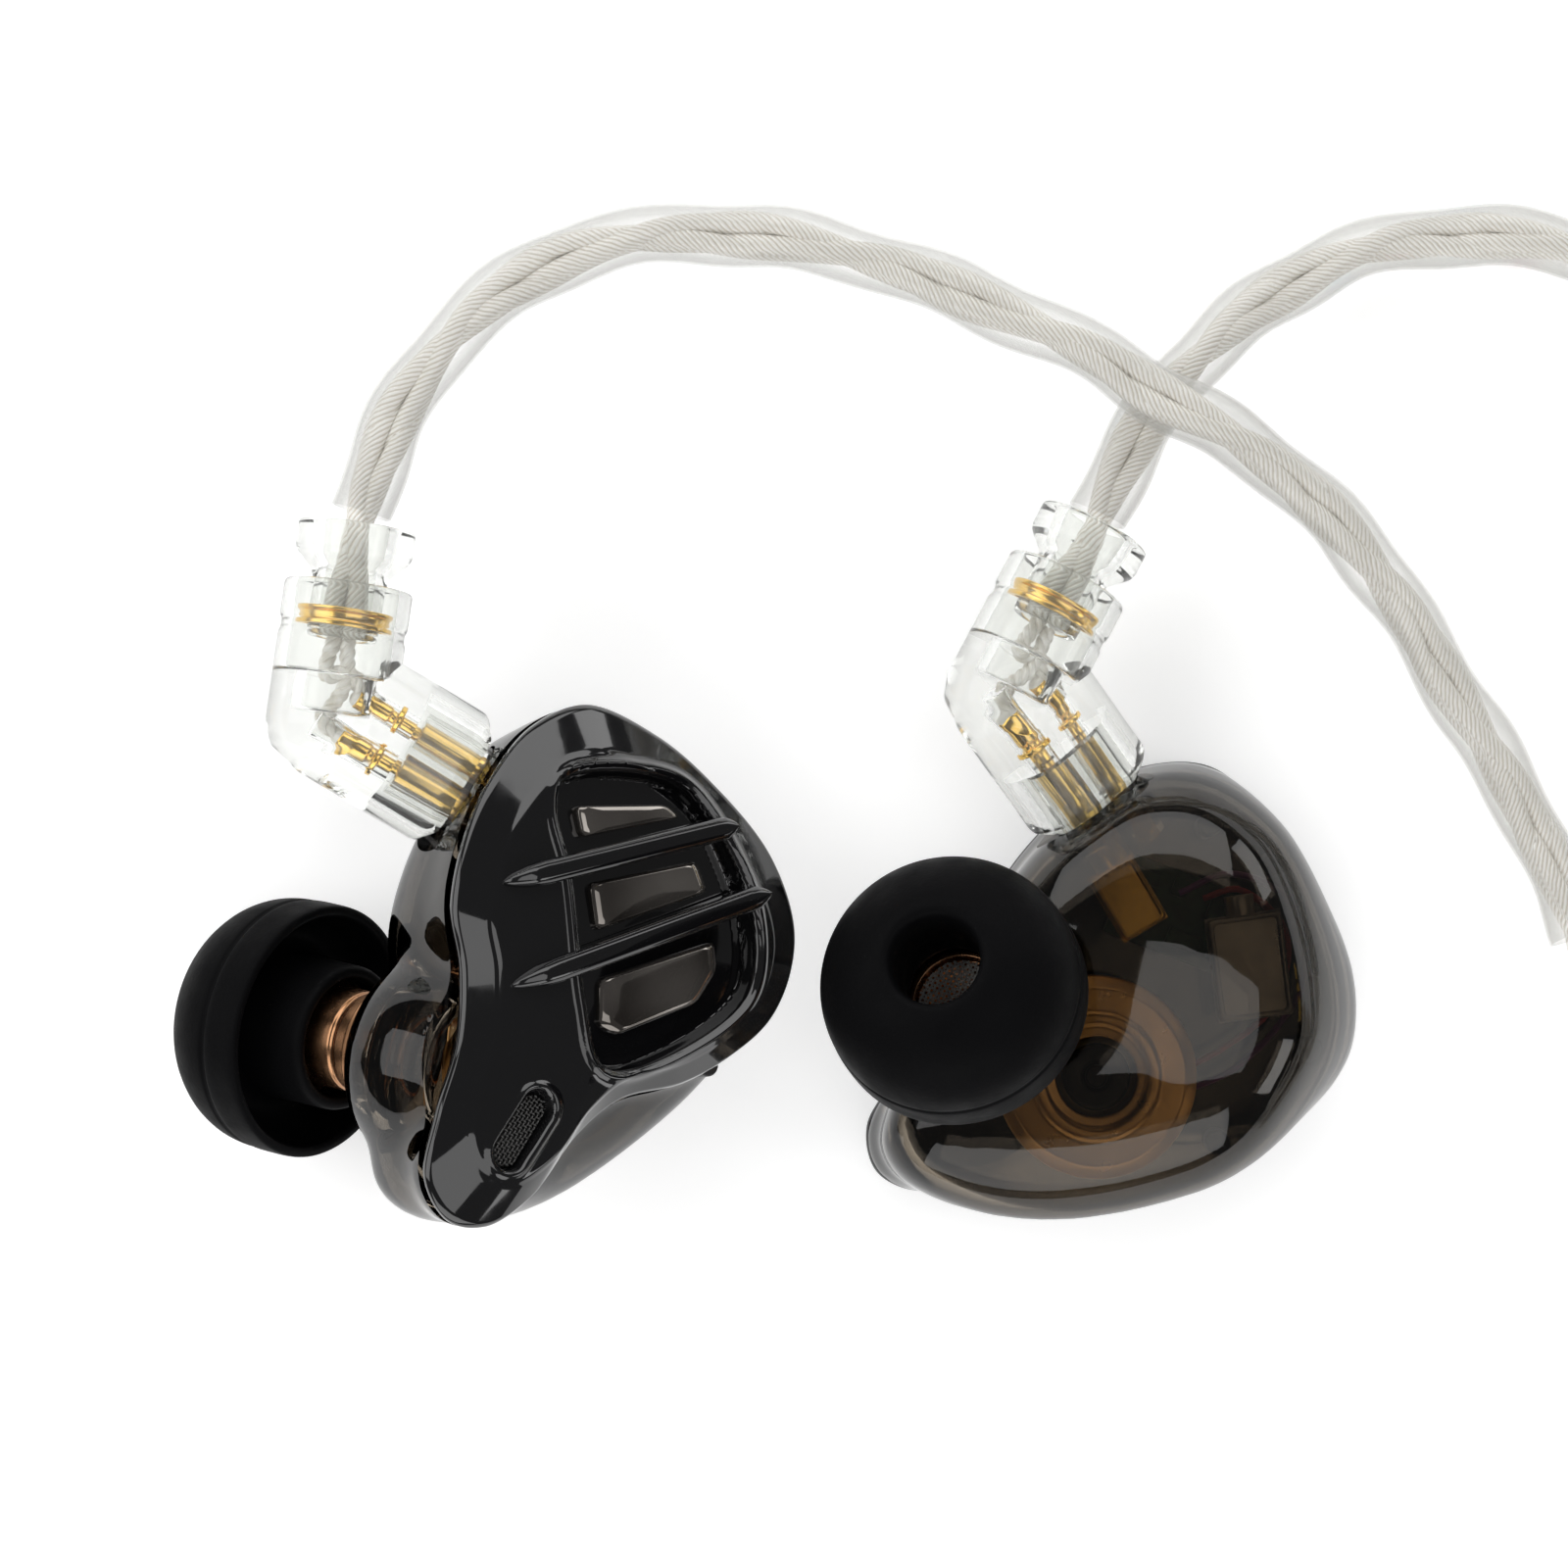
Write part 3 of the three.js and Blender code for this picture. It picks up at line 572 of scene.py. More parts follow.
def tube_rings(path, radius, sides):
    """Rings round a path. The radius is one number, or one for each point, or for each corner."""
    side, up = frames(path)
    angle = np.linspace(0, TURN, sides, endpoint=False)
    if np.ndim(radius) == 1:
        radius = np.reshape(radius, (-1, 1))
    radius = np.broadcast_to(radius, (len(path), sides))
    across = radius[..., None] * (
        np.cos(angle)[None, :, None] * side[:, None] + np.sin(angle)[None, :, None] * up[:, None]
    )
    return path[:, None] + across


def tube(path, radius, sides=12):
    return stacked(list(tube_rings(np.asarray(path, float), radius, sides)))


def signed_distance(points, border):
    """How far points are from a closed outline: negative inside it."""
    best = np.full(len(points), np.inf)
    inside = np.zeros(len(points), bool)
    for a, b in zip(border, np.roll(border, -1, 0)):
        way = b - a
        share = np.clip((points - a) @ way / (way @ way), 0, 1)
        best = np.minimum(best, np.linalg.norm(points - a - share[:, None] * way, axis=1))
        spans = (a[1] > points[:, 1]) != (b[1] > points[:, 1])
        meets = a[0] + (points[:, 1] - a[1]) * way[0] / (way[1] or 1.0)
        inside ^= spans & (points[:, 0] < meets)
    return np.where(inside, -best, best)


def step(value, start, end):
    """Runs smoothly from 0 to 1 as the value goes from start to end."""
    t = np.clip((value - start) / (end - start), 0, 1)
    return t * t * (3 - 2 * t)


AT_NOZZLE = aim(NOZZLE_BASE, NOZZLE_AXIS)
AT_TIP = aim(NOZZLE_BASE + NOZZLE_AXIS * TIP_BACK, NOZZLE_AXIS)
AT_HOOD = aim(HOOD_END, OUT, PIN_SIDE)
AT_NECK = aim(ELBOW, UP, OUT)

# ---- Objects ----


def in_scene(name, data):
    made = bpy.data.objects.new(name, data)
    bpy.context.scene.collection.objects.link(made)
    return made


def object_of(name, shape, finish, matrix=None, crease=40):
    """A mesh object, in metres, from a shape in millimetres."""
    points, faces = moved(shape, matrix) if matrix else shape
    mesh = bpy.data.meshes.new(name)
    mesh.from_pydata((np.asarray(points) * MM).tolist(), [], faces)
    if matrix and matrix.determinant() < 0:
        mesh.flip_normals()
    mesh.materials.append(LOOKS[finish])
    mesh.shade_smooth()
    mesh.set_sharp_from_angle(angle=math.radians(crease))
    return in_scene(name, mesh)


def discard(made):
    mesh = made.data
    bpy.data.objects.remove(made)
    bpy.data.meshes.remove(mesh)


def modified(shape, *changes):
    """A shape after Blender's modifiers. A change is (kind, settings)."""
    base = object_of("work", shape, "gloss_black")
    for kind, settings in changes:
        modifier = base.modifiers.new(kind, kind)
        for key, value in settings.items():
            setattr(modifier, key, value)
    graph = bpy.context.evaluated_depsgraph_get()
    mesh = bpy.data.meshes.new_from_object(base.evaluated_get(graph))
    points = np.array([corner.co for corner in mesh.vertices]) / MM
    faces = [tuple(face.vertices) for face in mesh.polygons]
    discard(base)
    bpy.data.meshes.remove(mesh)
    return points, faces


def combined(shape, tools, operation):
    """A shape joined with tools (UNION) or cut by them (DIFFERENCE)."""
    others = [object_of("tool", tool, "gloss_black") for tool in tools]
    changes = [("BOOLEAN", {"operation": operation, "object": other, "solver": "EXACT"})
               for other in others]
    result = modified(shape, *changes)
    for other in others:
        discard(other)
    return result


def left_matrix():
    turn = Vector((0, 0, 1)).rotation_difference(LEFT_FACES.normalized())
    return Matrix.Translation(LEFT_PLACE + TO_MIDDLE) @ turn.to_matrix().to_4x4()


def right_matrix():
    mirror = Matrix.Diagonal((1, 1, -1, 1))
    spin = Matrix.Rotation(RIGHT_SPIN, 4, "Z")
    return Matrix.Translation(RIGHT_PLACE + TO_MIDDLE) @ spin @ mirror


SIDES = {"left": left_matrix(), "right": right_matrix()}


def fitted(side, name, shape, finish, body, nodes=(), slot=None, crease=40):
    """A piece of one earpiece or connector, placed on its side, riding on a body."""
    made = object_of(f"{side}_{name}_look", shape, finish, SIDES[side], crease)
    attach(made, body)
    if nodes:
        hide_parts(*[f"{side}_{node}" for node in nodes])


# ---- Camera, floor and light ----


def camera():
    data = bpy.data.cameras.new("camera")
    data.lens = LENS
    data.sensor_width = 36.0
    data.clip_start = 0.01
    made = in_scene("camera", data)
    made.location = CAMERA_PLACE * MM
    bpy.context.scene.camera = made


def softbox(name, place, size, power):
    """A lamp of (width, height) metres, turned to the earpieces."""
    data = bpy.data.lights.new(name, "AREA")
    data.shape = "RECTANGLE"
    data.size, data.size_y = size
    data.energy = power
    made = in_scene(name, data)
    made.location = place
    made.rotation_euler = (LIT - Vector(place)).to_track_quat("-Z", "Y").to_euler()


def studio():
    floor_points = np.array([(-900, -900, 0), (900, -900, 0), (900, 900, 0), (-900, 900, 0)], float)
    floor = object_of("floor", (floor_points, [(0, 1, 2, 3)]), "gloss_black")
    floor.data.materials[0] = floor_look()
    world = bpy.data.worlds.new("studio")
    world.use_nodes = True
    sky = world.node_tree.nodes["Background"]
    sky.inputs["Color"].default_value = (1, 1, 1, 1)
    sky.inputs["Strength"].default_value = 0.12
    bpy.context.scene.world = world
    softbox("high", (0.27, -0.05, 0.6), (0.3, 0.5), 0.75)
    softbox("left", (-0.5, 0.1, 0.42), (0.5, 0.6), 1.9)
    softbox("back", (0.0, 0.6, 0.38), (1.2, 0.5), 4.0)
    softbox("front", (0.0, -0.6, 0.38), (1.2, 0.5), 4.0)
    softbox("right_back", (0.5, 0.33, 0.14), (0.25, 0.15), 0.3)
    softbox("right_front", (0.53, -0.2, 0.17), (0.2, 0.15), 0.26)
    bpy.context.scene.view_settings.view_transform = "Standard"
    bpy.context.scene.cycles.transparent_max_bounces = 32


camera()
studio()

# ---- Cable ----


def shifted(route, origin=Vector((0, 0, 0))):
    return [tuple(Vector(point) + origin + TO_MIDDLE) for point in route]


def spiral(start, end, first, last, low, high=None, lift=0.7):
    """Turns of the coil from a first radius to a last, lifted over the tie. Angles in degrees."""
    high = low if high is None else high
    angles = np.arange(start, end + 1e-6, 15.0)
    share = (angles - start) / (end - start)
    radius = first + (last - first) * share
    over_tie = np.exp(-(((angles - math.degrees(TIE_TURN) + 180) % 360 - 180) / 16) ** 2)
    z = low + (high - low) * share + lift * over_tie
    turn = np.radians(angles)
    return [tuple(p) for p in np.column_stack([radius * np.cos(turn), radius * np.sin(turn), z])]


def braid(name, path, diameter, pitch, marks=()):
    """Four round strands plaited about a path. A mark is (strand, first ring, rings, material)."""
    strand = 0.48 * diameter
    mean = 0.25 * diameter
    weave = 0.05 * diameter
    count = max(8, int(length_of(path) / RING_STEP))
    path = even(path, count)
    side, up = frames(path)
    reach = np.linspace(0, length_of(path), count)
    turn = TURN * reach / pitch
    sides = 8
    shapes = []
    for k in range(4):
        way = 1 if k % 2 == 0 else -1
        angle = way * turn + (k // 2) * math.pi
        radius = mean + way * weave * np.cos(2 * turn)
        centre = path + radius[:, None] * (
            np.cos(angle)[:, None] * side + np.sin(angle)[:, None] * up
        )
        shapes.append(tube(centre, strand / 2, sides))
    made = object_of(name, together(*shapes), "silver_braid", crease=60)
    unwrap(made, count, sides, length_of(path))
    faces = len(made.data.polygons) // 4
    for strand_number, first, rings, finish in marks:
        if LOOKS[finish].name not in made.data.materials:
            made.data.materials.append(LOOKS[finish])
        index = made.data.materials.find(LOOKS[finish].name)
        start = strand_number * faces + (first + 1) * sides
        for face in range(start, start + rings * sides):
            if face % sides < 3:
                made.data.polygons[face].material_index = index
    return made


def unwrap(made, rings, sides, length):
    """UVs of strands, in millimetres: round the strand across, and its length along."""
    layer = made.data.uv_layers.new(name="strand")
    mesh = made.data
    per_strand = rings * sides + 2
    corner = np.empty(len(mesh.loops), int)
    mesh.loops.foreach_get("vertex_index", corner)
    local = corner % per_strand - 1
    ring = np.clip(local // sides, 0, rings - 1)
    column = local % sides
    u = column / sides
    totals = np.empty(len(mesh.polygons), int)
    mesh.polygons.foreach_get("loop_total", totals)
    face_of = np.repeat(np.arange(len(totals)), totals)
    lowest = np.full(len(totals), 9.0)
    np.minimum.at(lowest, face_of, u)
    highest = np.zeros(len(totals))
    np.maximum.at(highest, face_of, u)
    wraps = (highest - lowest)[face_of] > 0.5
    u = np.where(wraps & (u < 0.5), u + 1, u)
    v = ring * length / (rings - 1)
    layer.data.foreach_set("uv", np.column_stack([u * STRAND_GIRTH, v]).ravel())


def wavy_sleeve(side, route):
    """The clear shrunk sleeve over the first stretch: it follows the plait inside it loosely."""
    path = even(curve(route), 260)
    reach = np.linspace(0, length_of(path), len(path))
    sides = 32
    angle = np.linspace(0, TURN, sides, endpoint=False)
    s, a = np.meshgrid(reach, angle, indexing="ij")
    wave = 0.13 * np.sin(TURN * s / 7.5 + a) + 0.06 * np.sin(TURN * s / 11.3 - 2 * a)
    radius = SLEEVE_DIAMETER / 2 + wave
    outer = list(tube_rings(path, radius, sides))
    inner = list(tube_rings(path, radius - SLEEVE_WALL, sides))
    made = object_of(f"{side}_sleeve_look", looped(outer + inner[::-1]), "sleeve")
    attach(made, "cable")
    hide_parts(f"{side}_ear_hook")
    return made


def neck_point(side, height):
    """A point on a connector's neck axis, above the middle of its elbow."""
    return tuple(SIDES[side] @ (ELBOW + UP * height))


def branch(side, hook, lead, coil, tail, marks=()):
    """One side's cable, from inside its connector's collar to the splitter."""
    sleeve = wavy_sleeve(side, shifted(hook))
    start = [neck_point(side, 3.4), neck_point(side, 6.0), neck_point(side, 8.4)]
    route = start + shifted(hook[1:]) + shifted(lead) + shifted(coil + tail, COIL)
    path = curve(route)
    made = braid(f"{side}_cable_look", path, BRANCH_DIAMETER, BRANCH_PITCH, marks)
    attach(made, "cable")
    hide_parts(f"{side}_cable_lead", f"{side}_cable_tail", "branch_coil")


def main_cable(pieces):
    coil = spiral(200, 1280, 13.4, 21.1, 5.9, lift=0.5)
    coil += spiral(1310, 2360, 20.9, 13.4, 8.25, lift=0.45)
    coil += spiral(2375, 2405, 13.7, 14.4, 9.2, 10.6, lift=0)
    route = shifted(MAIN_LEAD_ROUTE + coil + MAIN_TAIL_ROUTE, COIL)
    path = curve(route)
    made = braid("main_cable_look", path, MAIN_DIAMETER, MAIN_PITCH)
    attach(made, "cable")
    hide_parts("main_cable_lead", "main_cable_tail", "main_coil")


def on_cable(name, shape, finish, matrix):
    """A piece on the cable, such as a part of its plug."""
    made = object_of(f"{name}_look", shape, finish, matrix)
    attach(made, "cable")
    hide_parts(name)
    return made


def plug_pieces():
    """The jack plug lying on the coil, turned about its own axis."""
    ribs = [(0, 0), (1.35, 0), (1.7, 0.3)]
    for i in range(5):
        low = 0.9 + 1.05 * i
        r = 1.75 + 0.11 * i
        ribs += [(r, low), (r, low + 0.55), (r - 0.3, low + 0.6), (r - 0.3, low + 0.95)]
    ribs += [(2.4, 6.15), (2.4, 6.7), (0, 6.7)]
    barrel = [(0, 7), (2.6, 7), (3, 7.6), (3, 9), (2.85, 9.2), (2.85, 9.6), (3, 9.8), (3, 17.6),
              (2.85, 17.8), (2.85, 18.2), (3, 18.4), (3, 19.4), (2.7, 20), (0, 20)]
    parts = [
        ("plug_relief", ribs, "black_plastic"),
        ("plug_barrel", barrel, "dark_metal"),
        ("plug_sleeve", [(1, 20.3), (2.3, 20.3), (2.3, 21), (1.75, 21), (1.75, 27.5), (1, 27.5),
                         (1, 20.3)], "gold"),
        ("plug_insulator", [(0, 20.6), (0.7, 20.6), (0.7, 27.8), (1.65, 27.8), (1.65, 28.2),
                            (0.7, 28.2), (0.7, 30.4), (1.65, 30.4), (1.65, 30.8), (0.7, 30.8),
                            (0.7, 32), (0, 32)], "black_plastic"),
        ("plug_ring", [(1, 28.5), (1.75, 28.5), (1.75, 30.1), (1, 30.1), (1, 28.5)], "gold"),
        ("plug_tip", [(1, 31.1), (1.75, 31.1), (1.75, 31.6), (1.25, 32.6), (1.65, 33.4),
                      (0.5, 34.6), (0, 34.6), (0, 32.3), (1, 32.3), (1, 31.1)], "gold"),
    ]
    matrix = aim(COIL + TO_MIDDLE + PLUG, Vector((0, 1, 0)), Vector((0, 0, 1)))
    made = []
    for name, rows, finish in parts:
        made.append(on_cable(name, turned(rows, 0.12, 48), finish, matrix))
    return made


def splitter():
    rows = [(0, 0), (2.0, 0), (2.6, 0.8), (2.6, 2.4), (2.35, 2.6), (2.35, 3.0), (2.6, 3.2),
            (2.6, 7.4), (2.35, 7.6), (2.35, 8.0), (2.6, 8.2), (2.5, 9), (1.8, 11), (0, 11)]
    matrix = aim(COIL + TO_MIDDLE + Vector((5.5, 7.2, 2.8)), Vector((-1, 0, 0)))
    return on_cable("splitter", turned(rows, 0.25, 48), "black_plastic", matrix)


def cable_tie():
    """A woven strap round the bundle of turns, its end lapped over on top."""
    inner, outer, top, thick, half = 11.6, 22.8, 9.95, 0.7, 2.5
    low, high = 0.35, top + 0.3
    loop = rounded([(inner, low), (outer, low), (outer, high), (inner, high)], 2.0, steps=8)
    loop = even_loop(loop, 120)
    middle = loop.mean(0)
    section = rounded([(-half, -thick / 2), (half, -thick / 2), (half, thick / 2),
                       (-half, thick / 2)], 0.25, steps=4)
    rings = []
    for corner, before, after in zip(loop, np.roll(loop, 1, 0), np.roll(loop, -1, 0)):
        way = after - before
        away = np.array([way[1], -way[0]]) / np.linalg.norm(way)
        if away @ (corner - middle) < 0:
            away = -away
        rings.append(np.array([(corner[0] + away[0] * h, s, corner[1] + away[1] * h)
                               for s, h in section]))
    lap = moved(box_shape(6.5, 2 * half - 0.3, 0.5, 0.2), Matrix.Translation((18.6, 0, top + 0.85)))
    matrix = Matrix.Translation(COIL + TO_MIDDLE) @ Matrix.Rotation(TIE_TURN, 4, "Z")
    tie = together(looped(rings), lap)
    return on_cable("cable_tie", tie, "nylon", matrix)


def right_marks():
    """Small coloured ticks printed on two strands of the right cable, every few millimetres."""
    kinds = [(0, 8, "blue_mark"), (2, 15, "red_mark")]
    return [(strand, first + 15 * i, 3, finish)
            for i in range(46) for strand, first, finish in kinds]


right_coil = spiral(205, 1080, 19.84, 14.25, 1.1)
left_coil = spiral(215, 1080, 18.63, 13.1, 3.3)
branch("left", LEFT_HOOK_ROUTE, LEFT_LEAD_ROUTE, left_coil, LEFT_TAIL_ROUTE)
branch("right", RIGHT_HOOK_ROUTE, RIGHT_LEAD_ROUTE, right_coil, RIGHT_TAIL_ROUTE, right_marks())
main_cable([*plug_pieces(), splitter(), cable_tie()])

# ---- Faceplate ----


def pill_distance(points):
    """Distance from the vent's pill outline: negative inside."""
    away = points - np.array(VENT_CENTRE)
    way = np.array([math.cos(VENT_TURN), math.sin(VENT_TURN)])
    half = (VENT_LENGTH - VENT_WIDTH) / 2
    along = np.clip(away @ way, -half, half)
    return np.linalg.norm(away - along[:, None] * way, axis=1) - VENT_WIDTH / 2


def face_height(points, share):
    """Height of the plate's front: chamfer, plateau, the window's rim and recess, and the vent."""
    profile = ([0, 0.8, 0.82, 0.84, 0.985, 1.0], [0.25, 0.25, 0.2, 0.1, -0.35, -0.55])
    height = np.interp(share, *profile) - 0.5 * share**2
    window = signed_distance(points, outline(WINDOW_OUTLINE, 120))
    height += 0.2 * np.exp(-(((window - 0.42) / 0.2) ** 2))
    height -= WINDOW_DEPTH * step(window, 0.1, -0.25)
    vent = pill_distance(points)
    height += 0.1 * np.exp(-(((vent - 0.25) / 0.16) ** 2))
    height -= 0.75 * step(vent, 0.08, -0.18)
    return height


def face_slab():
    rim = outline(FACE_OUTLINE, 480)
    rings = [at_height(shrunk(rim, s, BEAN_CENTRE), PLATE_BACK) for s in (0.3, 0.7, 0.955)]
    rings.append(at_height(shrunk(rim, 0.97, BEAN_CENTRE), PLATE_BACK + 0.03))
    rings.append(at_height(shrunk(rim, 0.995, BEAN_CENTRE), PLATE_BACK + 0.3))
    rings.append(at_height(rim, PLATE_BACK + 0.42))
    shares = np.concatenate([np.linspace(1.0, 0.86, 22), np.linspace(0.852, 0.01, 104)])
    for share in shares:
        flat = shrunk(rim, share, BEAN_CENTRE)
        rings.append(at_height(flat, face_height(flat, share)))
    return stacked(rings)


def fin(start, end):
    """A long pointed blade across the window, flat along its top."""
    start, end = np.array(start), np.array(end)
    way = end - start
    length = np.linalg.norm(way)
    way /= length
    across = np.array([-way[1], way[0]])
    rings = []
    places = [np.linspace(0.004, 0.12, 7), np.linspace(0.16, 0.92, 24), [0.95, 0.975, 0.99, 0.998]]
    for t in np.concatenate(places):
        wide = FIN_WIDTH / 2 * min(1, (t / 0.14) ** 0.6) * min(1, ((1 - t) / 0.045) ** 0.5)
        top = FIN_FOOT + (FIN_HEIGHT - FIN_FOOT) * min(1, (t / 0.1) ** 0.5 * 0.65 + 0.35)
        crest = 0.5 * wide
        section = [(-wide, FIN_FOOT), (wide, FIN_FOOT), (wide, 0.1), (0.94 * wide, 0.78 * top),
                   (crest, top), (-crest, top), (-0.94 * wide, 0.78 * top), (-wide, 0.1)]
        section = rounded(section, 0.12, steps=4)
        middle = start + way * (t * length)
        rings.append(np.array([(*(middle + across * s), h) for s, h in section]))
    return stacked(rings)


def pane(corners):
    flat = even_loop(rounded(corners, 0.35), 96)
    rows = [(1.0, -1.12), (1.0, -0.62), (0.965, -0.5), (0.87, -0.42), (0.84, -0.41), (0.4, -0.38)]
    return stacked([at_height(shrunk(flat, s), z) for s, z in rows])


def woven(inside, reach, pitch, wire_radius):
    """A flat woven cloth of fine wires in the plane w = 0, cut where inside() says."""
    shapes = []
    steps = np.arange(-reach, reach + 1e-6, pitch / 4)
    for way in (0, 1):
        for i, place in enumerate(np.arange(-reach, reach + 1e-6, pitch)):
            line = np.zeros((len(steps), 3))
            line[:, way] = steps
            line[:, 1 - way] = place
            line[:, 2] = wire_radius * np.cos(math.pi * steps / pitch + math.pi * (i + way))
            kept = line[inside(line[:, :2])]
            if len(kept) > 3:
                shapes.append(tube(kept, wire_radius, 5))
    return together(*shapes)


# ---- Shell ----


def bean(rows, count, steps):
    """A closed body. A row is (scale, height, share): a share of 1 takes the shell's outline."""
    face = outline(FACE_OUTLINE, count)
    full = outline(SHELL_OUTLINE, count)
    rings = []
    for scale, w, share in curve(rows, steps=steps):
        rim = face + share * (full - face)
        lean = DEEP_LEAN * step(w, -3.0, -9.0)
        rings.append(at_height(shrunk(rim, scale, BEAN_CENTRE) + lean, w))
    return stacked(rings)


def shell_skin():
    """The shell's outer skin, whose snout runs out to the nozzle."""
    rows = [(0.1, -11.2, 1), (0.4, -10.85, 1), (0.68, -10.0, 1), (0.86, -8.7, 1), (0.96, -6.6, 1),
            (0.99, -4, 0.6), (1, -2.0, 0), (1, -0.6, 0)]
    snout = turned([(0, -7.5), (4.9, -7.5), (5.1, -5.6), (5.3, -2.8), (5.1, -1.0), (4.2, 0.15),
                    (0, 0.15)], 0.8, 72)
    return together(bean(rows, 160, 7), moved(snout, AT_NOZZLE))


def shell_hollow():
    """The room inside the shell, which runs out through its open front."""
    rows = [(0.12, -10.1, 1), (0.4, -9.7, 1), (0.64, -8.9, 1), (0.8, -7.7, 1), (0.88, -6.0, 1),
            (0.9, -4, 0.6), (0.9, -2.0, 0), (0.9, -0.9, 0)]
    snout = turned([(0, -6), (4.4, -6), (4.4, -3.8), (3.4, -1.4), (2.4, -1.2), (0, -1.2)], 0.8, 48)
    return combined(bean(rows, 96, 5), [moved(snout, AT_NOZZLE)], "UNION")


def shell_shape():
    """The skin blended smooth, opened at its front, hollowed, and cut for nozzle and plug."""
    skin = modified(
        shell_skin(),
        ("REMESH", {"mode": "VOXEL", "voxel_size": SKIN_VOXEL * MM, "use_smooth_shade": True}),
        ("SMOOTH", {"factor": 0.5, "iterations": 40}),
    )
    front = np.array([(-30, -30), (30, -30), (30, 30), (-30, 30)], float)
    slab = stacked([at_height(front, SHELL_FRONT), at_height(front, 6)])
    body = combined(skin, [slab], "DIFFERENCE")
    hood = moved(oval_bar(7.5, 5.6, [(0, -0.25), (0, 9)]), AT_HOOD)
    boss = moved(oval_bar(4.8, 3.4, [(0, -6), (0, 4)]), AT_HOOD)
    bore = moved(turned([(0, -5), (2.5, -5), (2.5, 4), (0, 4)], 0.05), AT_NOZZLE)
    return combined(body, [shell_hollow(), hood, boss, bore], "DIFFERENCE")


# ---- Nozzle, tip and the parts inside ----


def screen_shape():
    cloth = woven(lambda at: np.linalg.norm(at, axis=1) < 2.1, 2.1, 0.2, 0.062)
    return moved(cloth, aim(NOZZLE_BASE + NOZZLE_AXIS * 4.87, NOZZLE_AXIS))


def vent_shape():
    turn = Matrix.Rotation(VENT_TURN, 4, "Z")

    def inside(at):
        line = at_height(at, 0.0)
        spot = moved((line, []), Matrix.Translation((*VENT_CENTRE, 0)) @ turn)[0]
        return pill_distance(spot[:, :2]) < -0.2

    cloth = woven(inside, 2.3, 0.19, 0.05)
    return moved(cloth, Matrix.Translation((*VENT_CENTRE, -0.5)) @ turn)


def driver_shapes():
    r = DRIVER_RADIUS
    cup = turned([(1.95, 0), (2.4, 0), (2.6, -0.12), (3.0, -0.12), (3.2, 0), (r - 0.6, 0), (r, 0.5),
                  (r, 1.0), (r - 0.12, 1.1), (r - 0.12, 1.3), (r, 1.4), (r, 2.8), (r - 0.5, 2.8),
                  (r - 0.5, 0.7), (1.95, 0.6), (1.95, 0)], 0.12, 96)
    magnet = turned([(0, -0.1), (0.5, -0.1), (0.6, 0.15), (0.75, -0.1), (1.5, -0.1), (1.65, 0.05),
                     (1.65, 1.3), (0, 1.3)], 0.08, 48)
    film = turned([(0, 1.9), (1.8, 1.9), (2.6, 1.6), (r - 0.8, 2.1), (r - 0.8, 2.3), (2.6, 1.8),
                   (1.8, 2.1), (0, 2.3)], 0.2, 64)
    return cup, magnet, film


def can_shape(width, length, height):
    """A balanced armature: a pressed can with a seam round it and a spout."""
    body = box_shape(width, length, height, 0.3)
    seam = box_shape(width + 0.12, length + 0.12, 0.16, 0.05)
    spout = turned([(0, 0), (0.7, 0), (0.7, 1.1), (0.5, 1.1), (0.5, 0.4), (0, 0.4)], 0.06, 24)
    along, across = Vector((0, 1, 0)), Vector((1, 0, 0))
    return together(body, seam, moved(spout, aim(along * (length / 2 - 0.1), along, across)))


def board_shape():
    chips = [(-2.1, 1.2, 1.2, 0.7), (-0.4, 1.3, 0.8, 1.0), (1.9, 0.9, 1.4, 1.0),
             (-1.7, -1.0, 1.0, 1.0), (0.6, -1.1, 1.6, 0.8), (2.3, -1.2, 0.7, 0.7)]
    shapes = [box_shape(6.4, 4.2, 0.6, 0.12)]
    for x, y, width, length in chips:
        shapes.append(moved(box_shape(width, length, 0.5, 0.08), Matrix.Translation((x, y, -0.45))))
    return moved(together(*shapes), Matrix.Translation((0.8, 4.4, -3.6)))


def pegs_shape():
    """Short posts behind the plate that the shell is located on."""
    rows = [(0, 0), (0.62, 0), (0.62, -2.2), (0.5, -2.5), (0, -2.5)]
    places = [(0.6, 9.0), (4.2, 8.4), (9.0, 0.5), (6.6, -5.4)]
    return together(*[
        moved(turned(rows[::-1], 0.1, 24), Matrix.Translation((*place, PLATE_BACK - 0.05)))
        for place in places
    ])


def wire_between(*points):
    return tube(even(curve(points), 48), WIRE_RADIUS, 8)


# ---- Connector ----


def pin_matrix(sign):
    return aim(HOOD_END + PIN_SIDE * (sign * PIN_PITCH / 2), OUT)


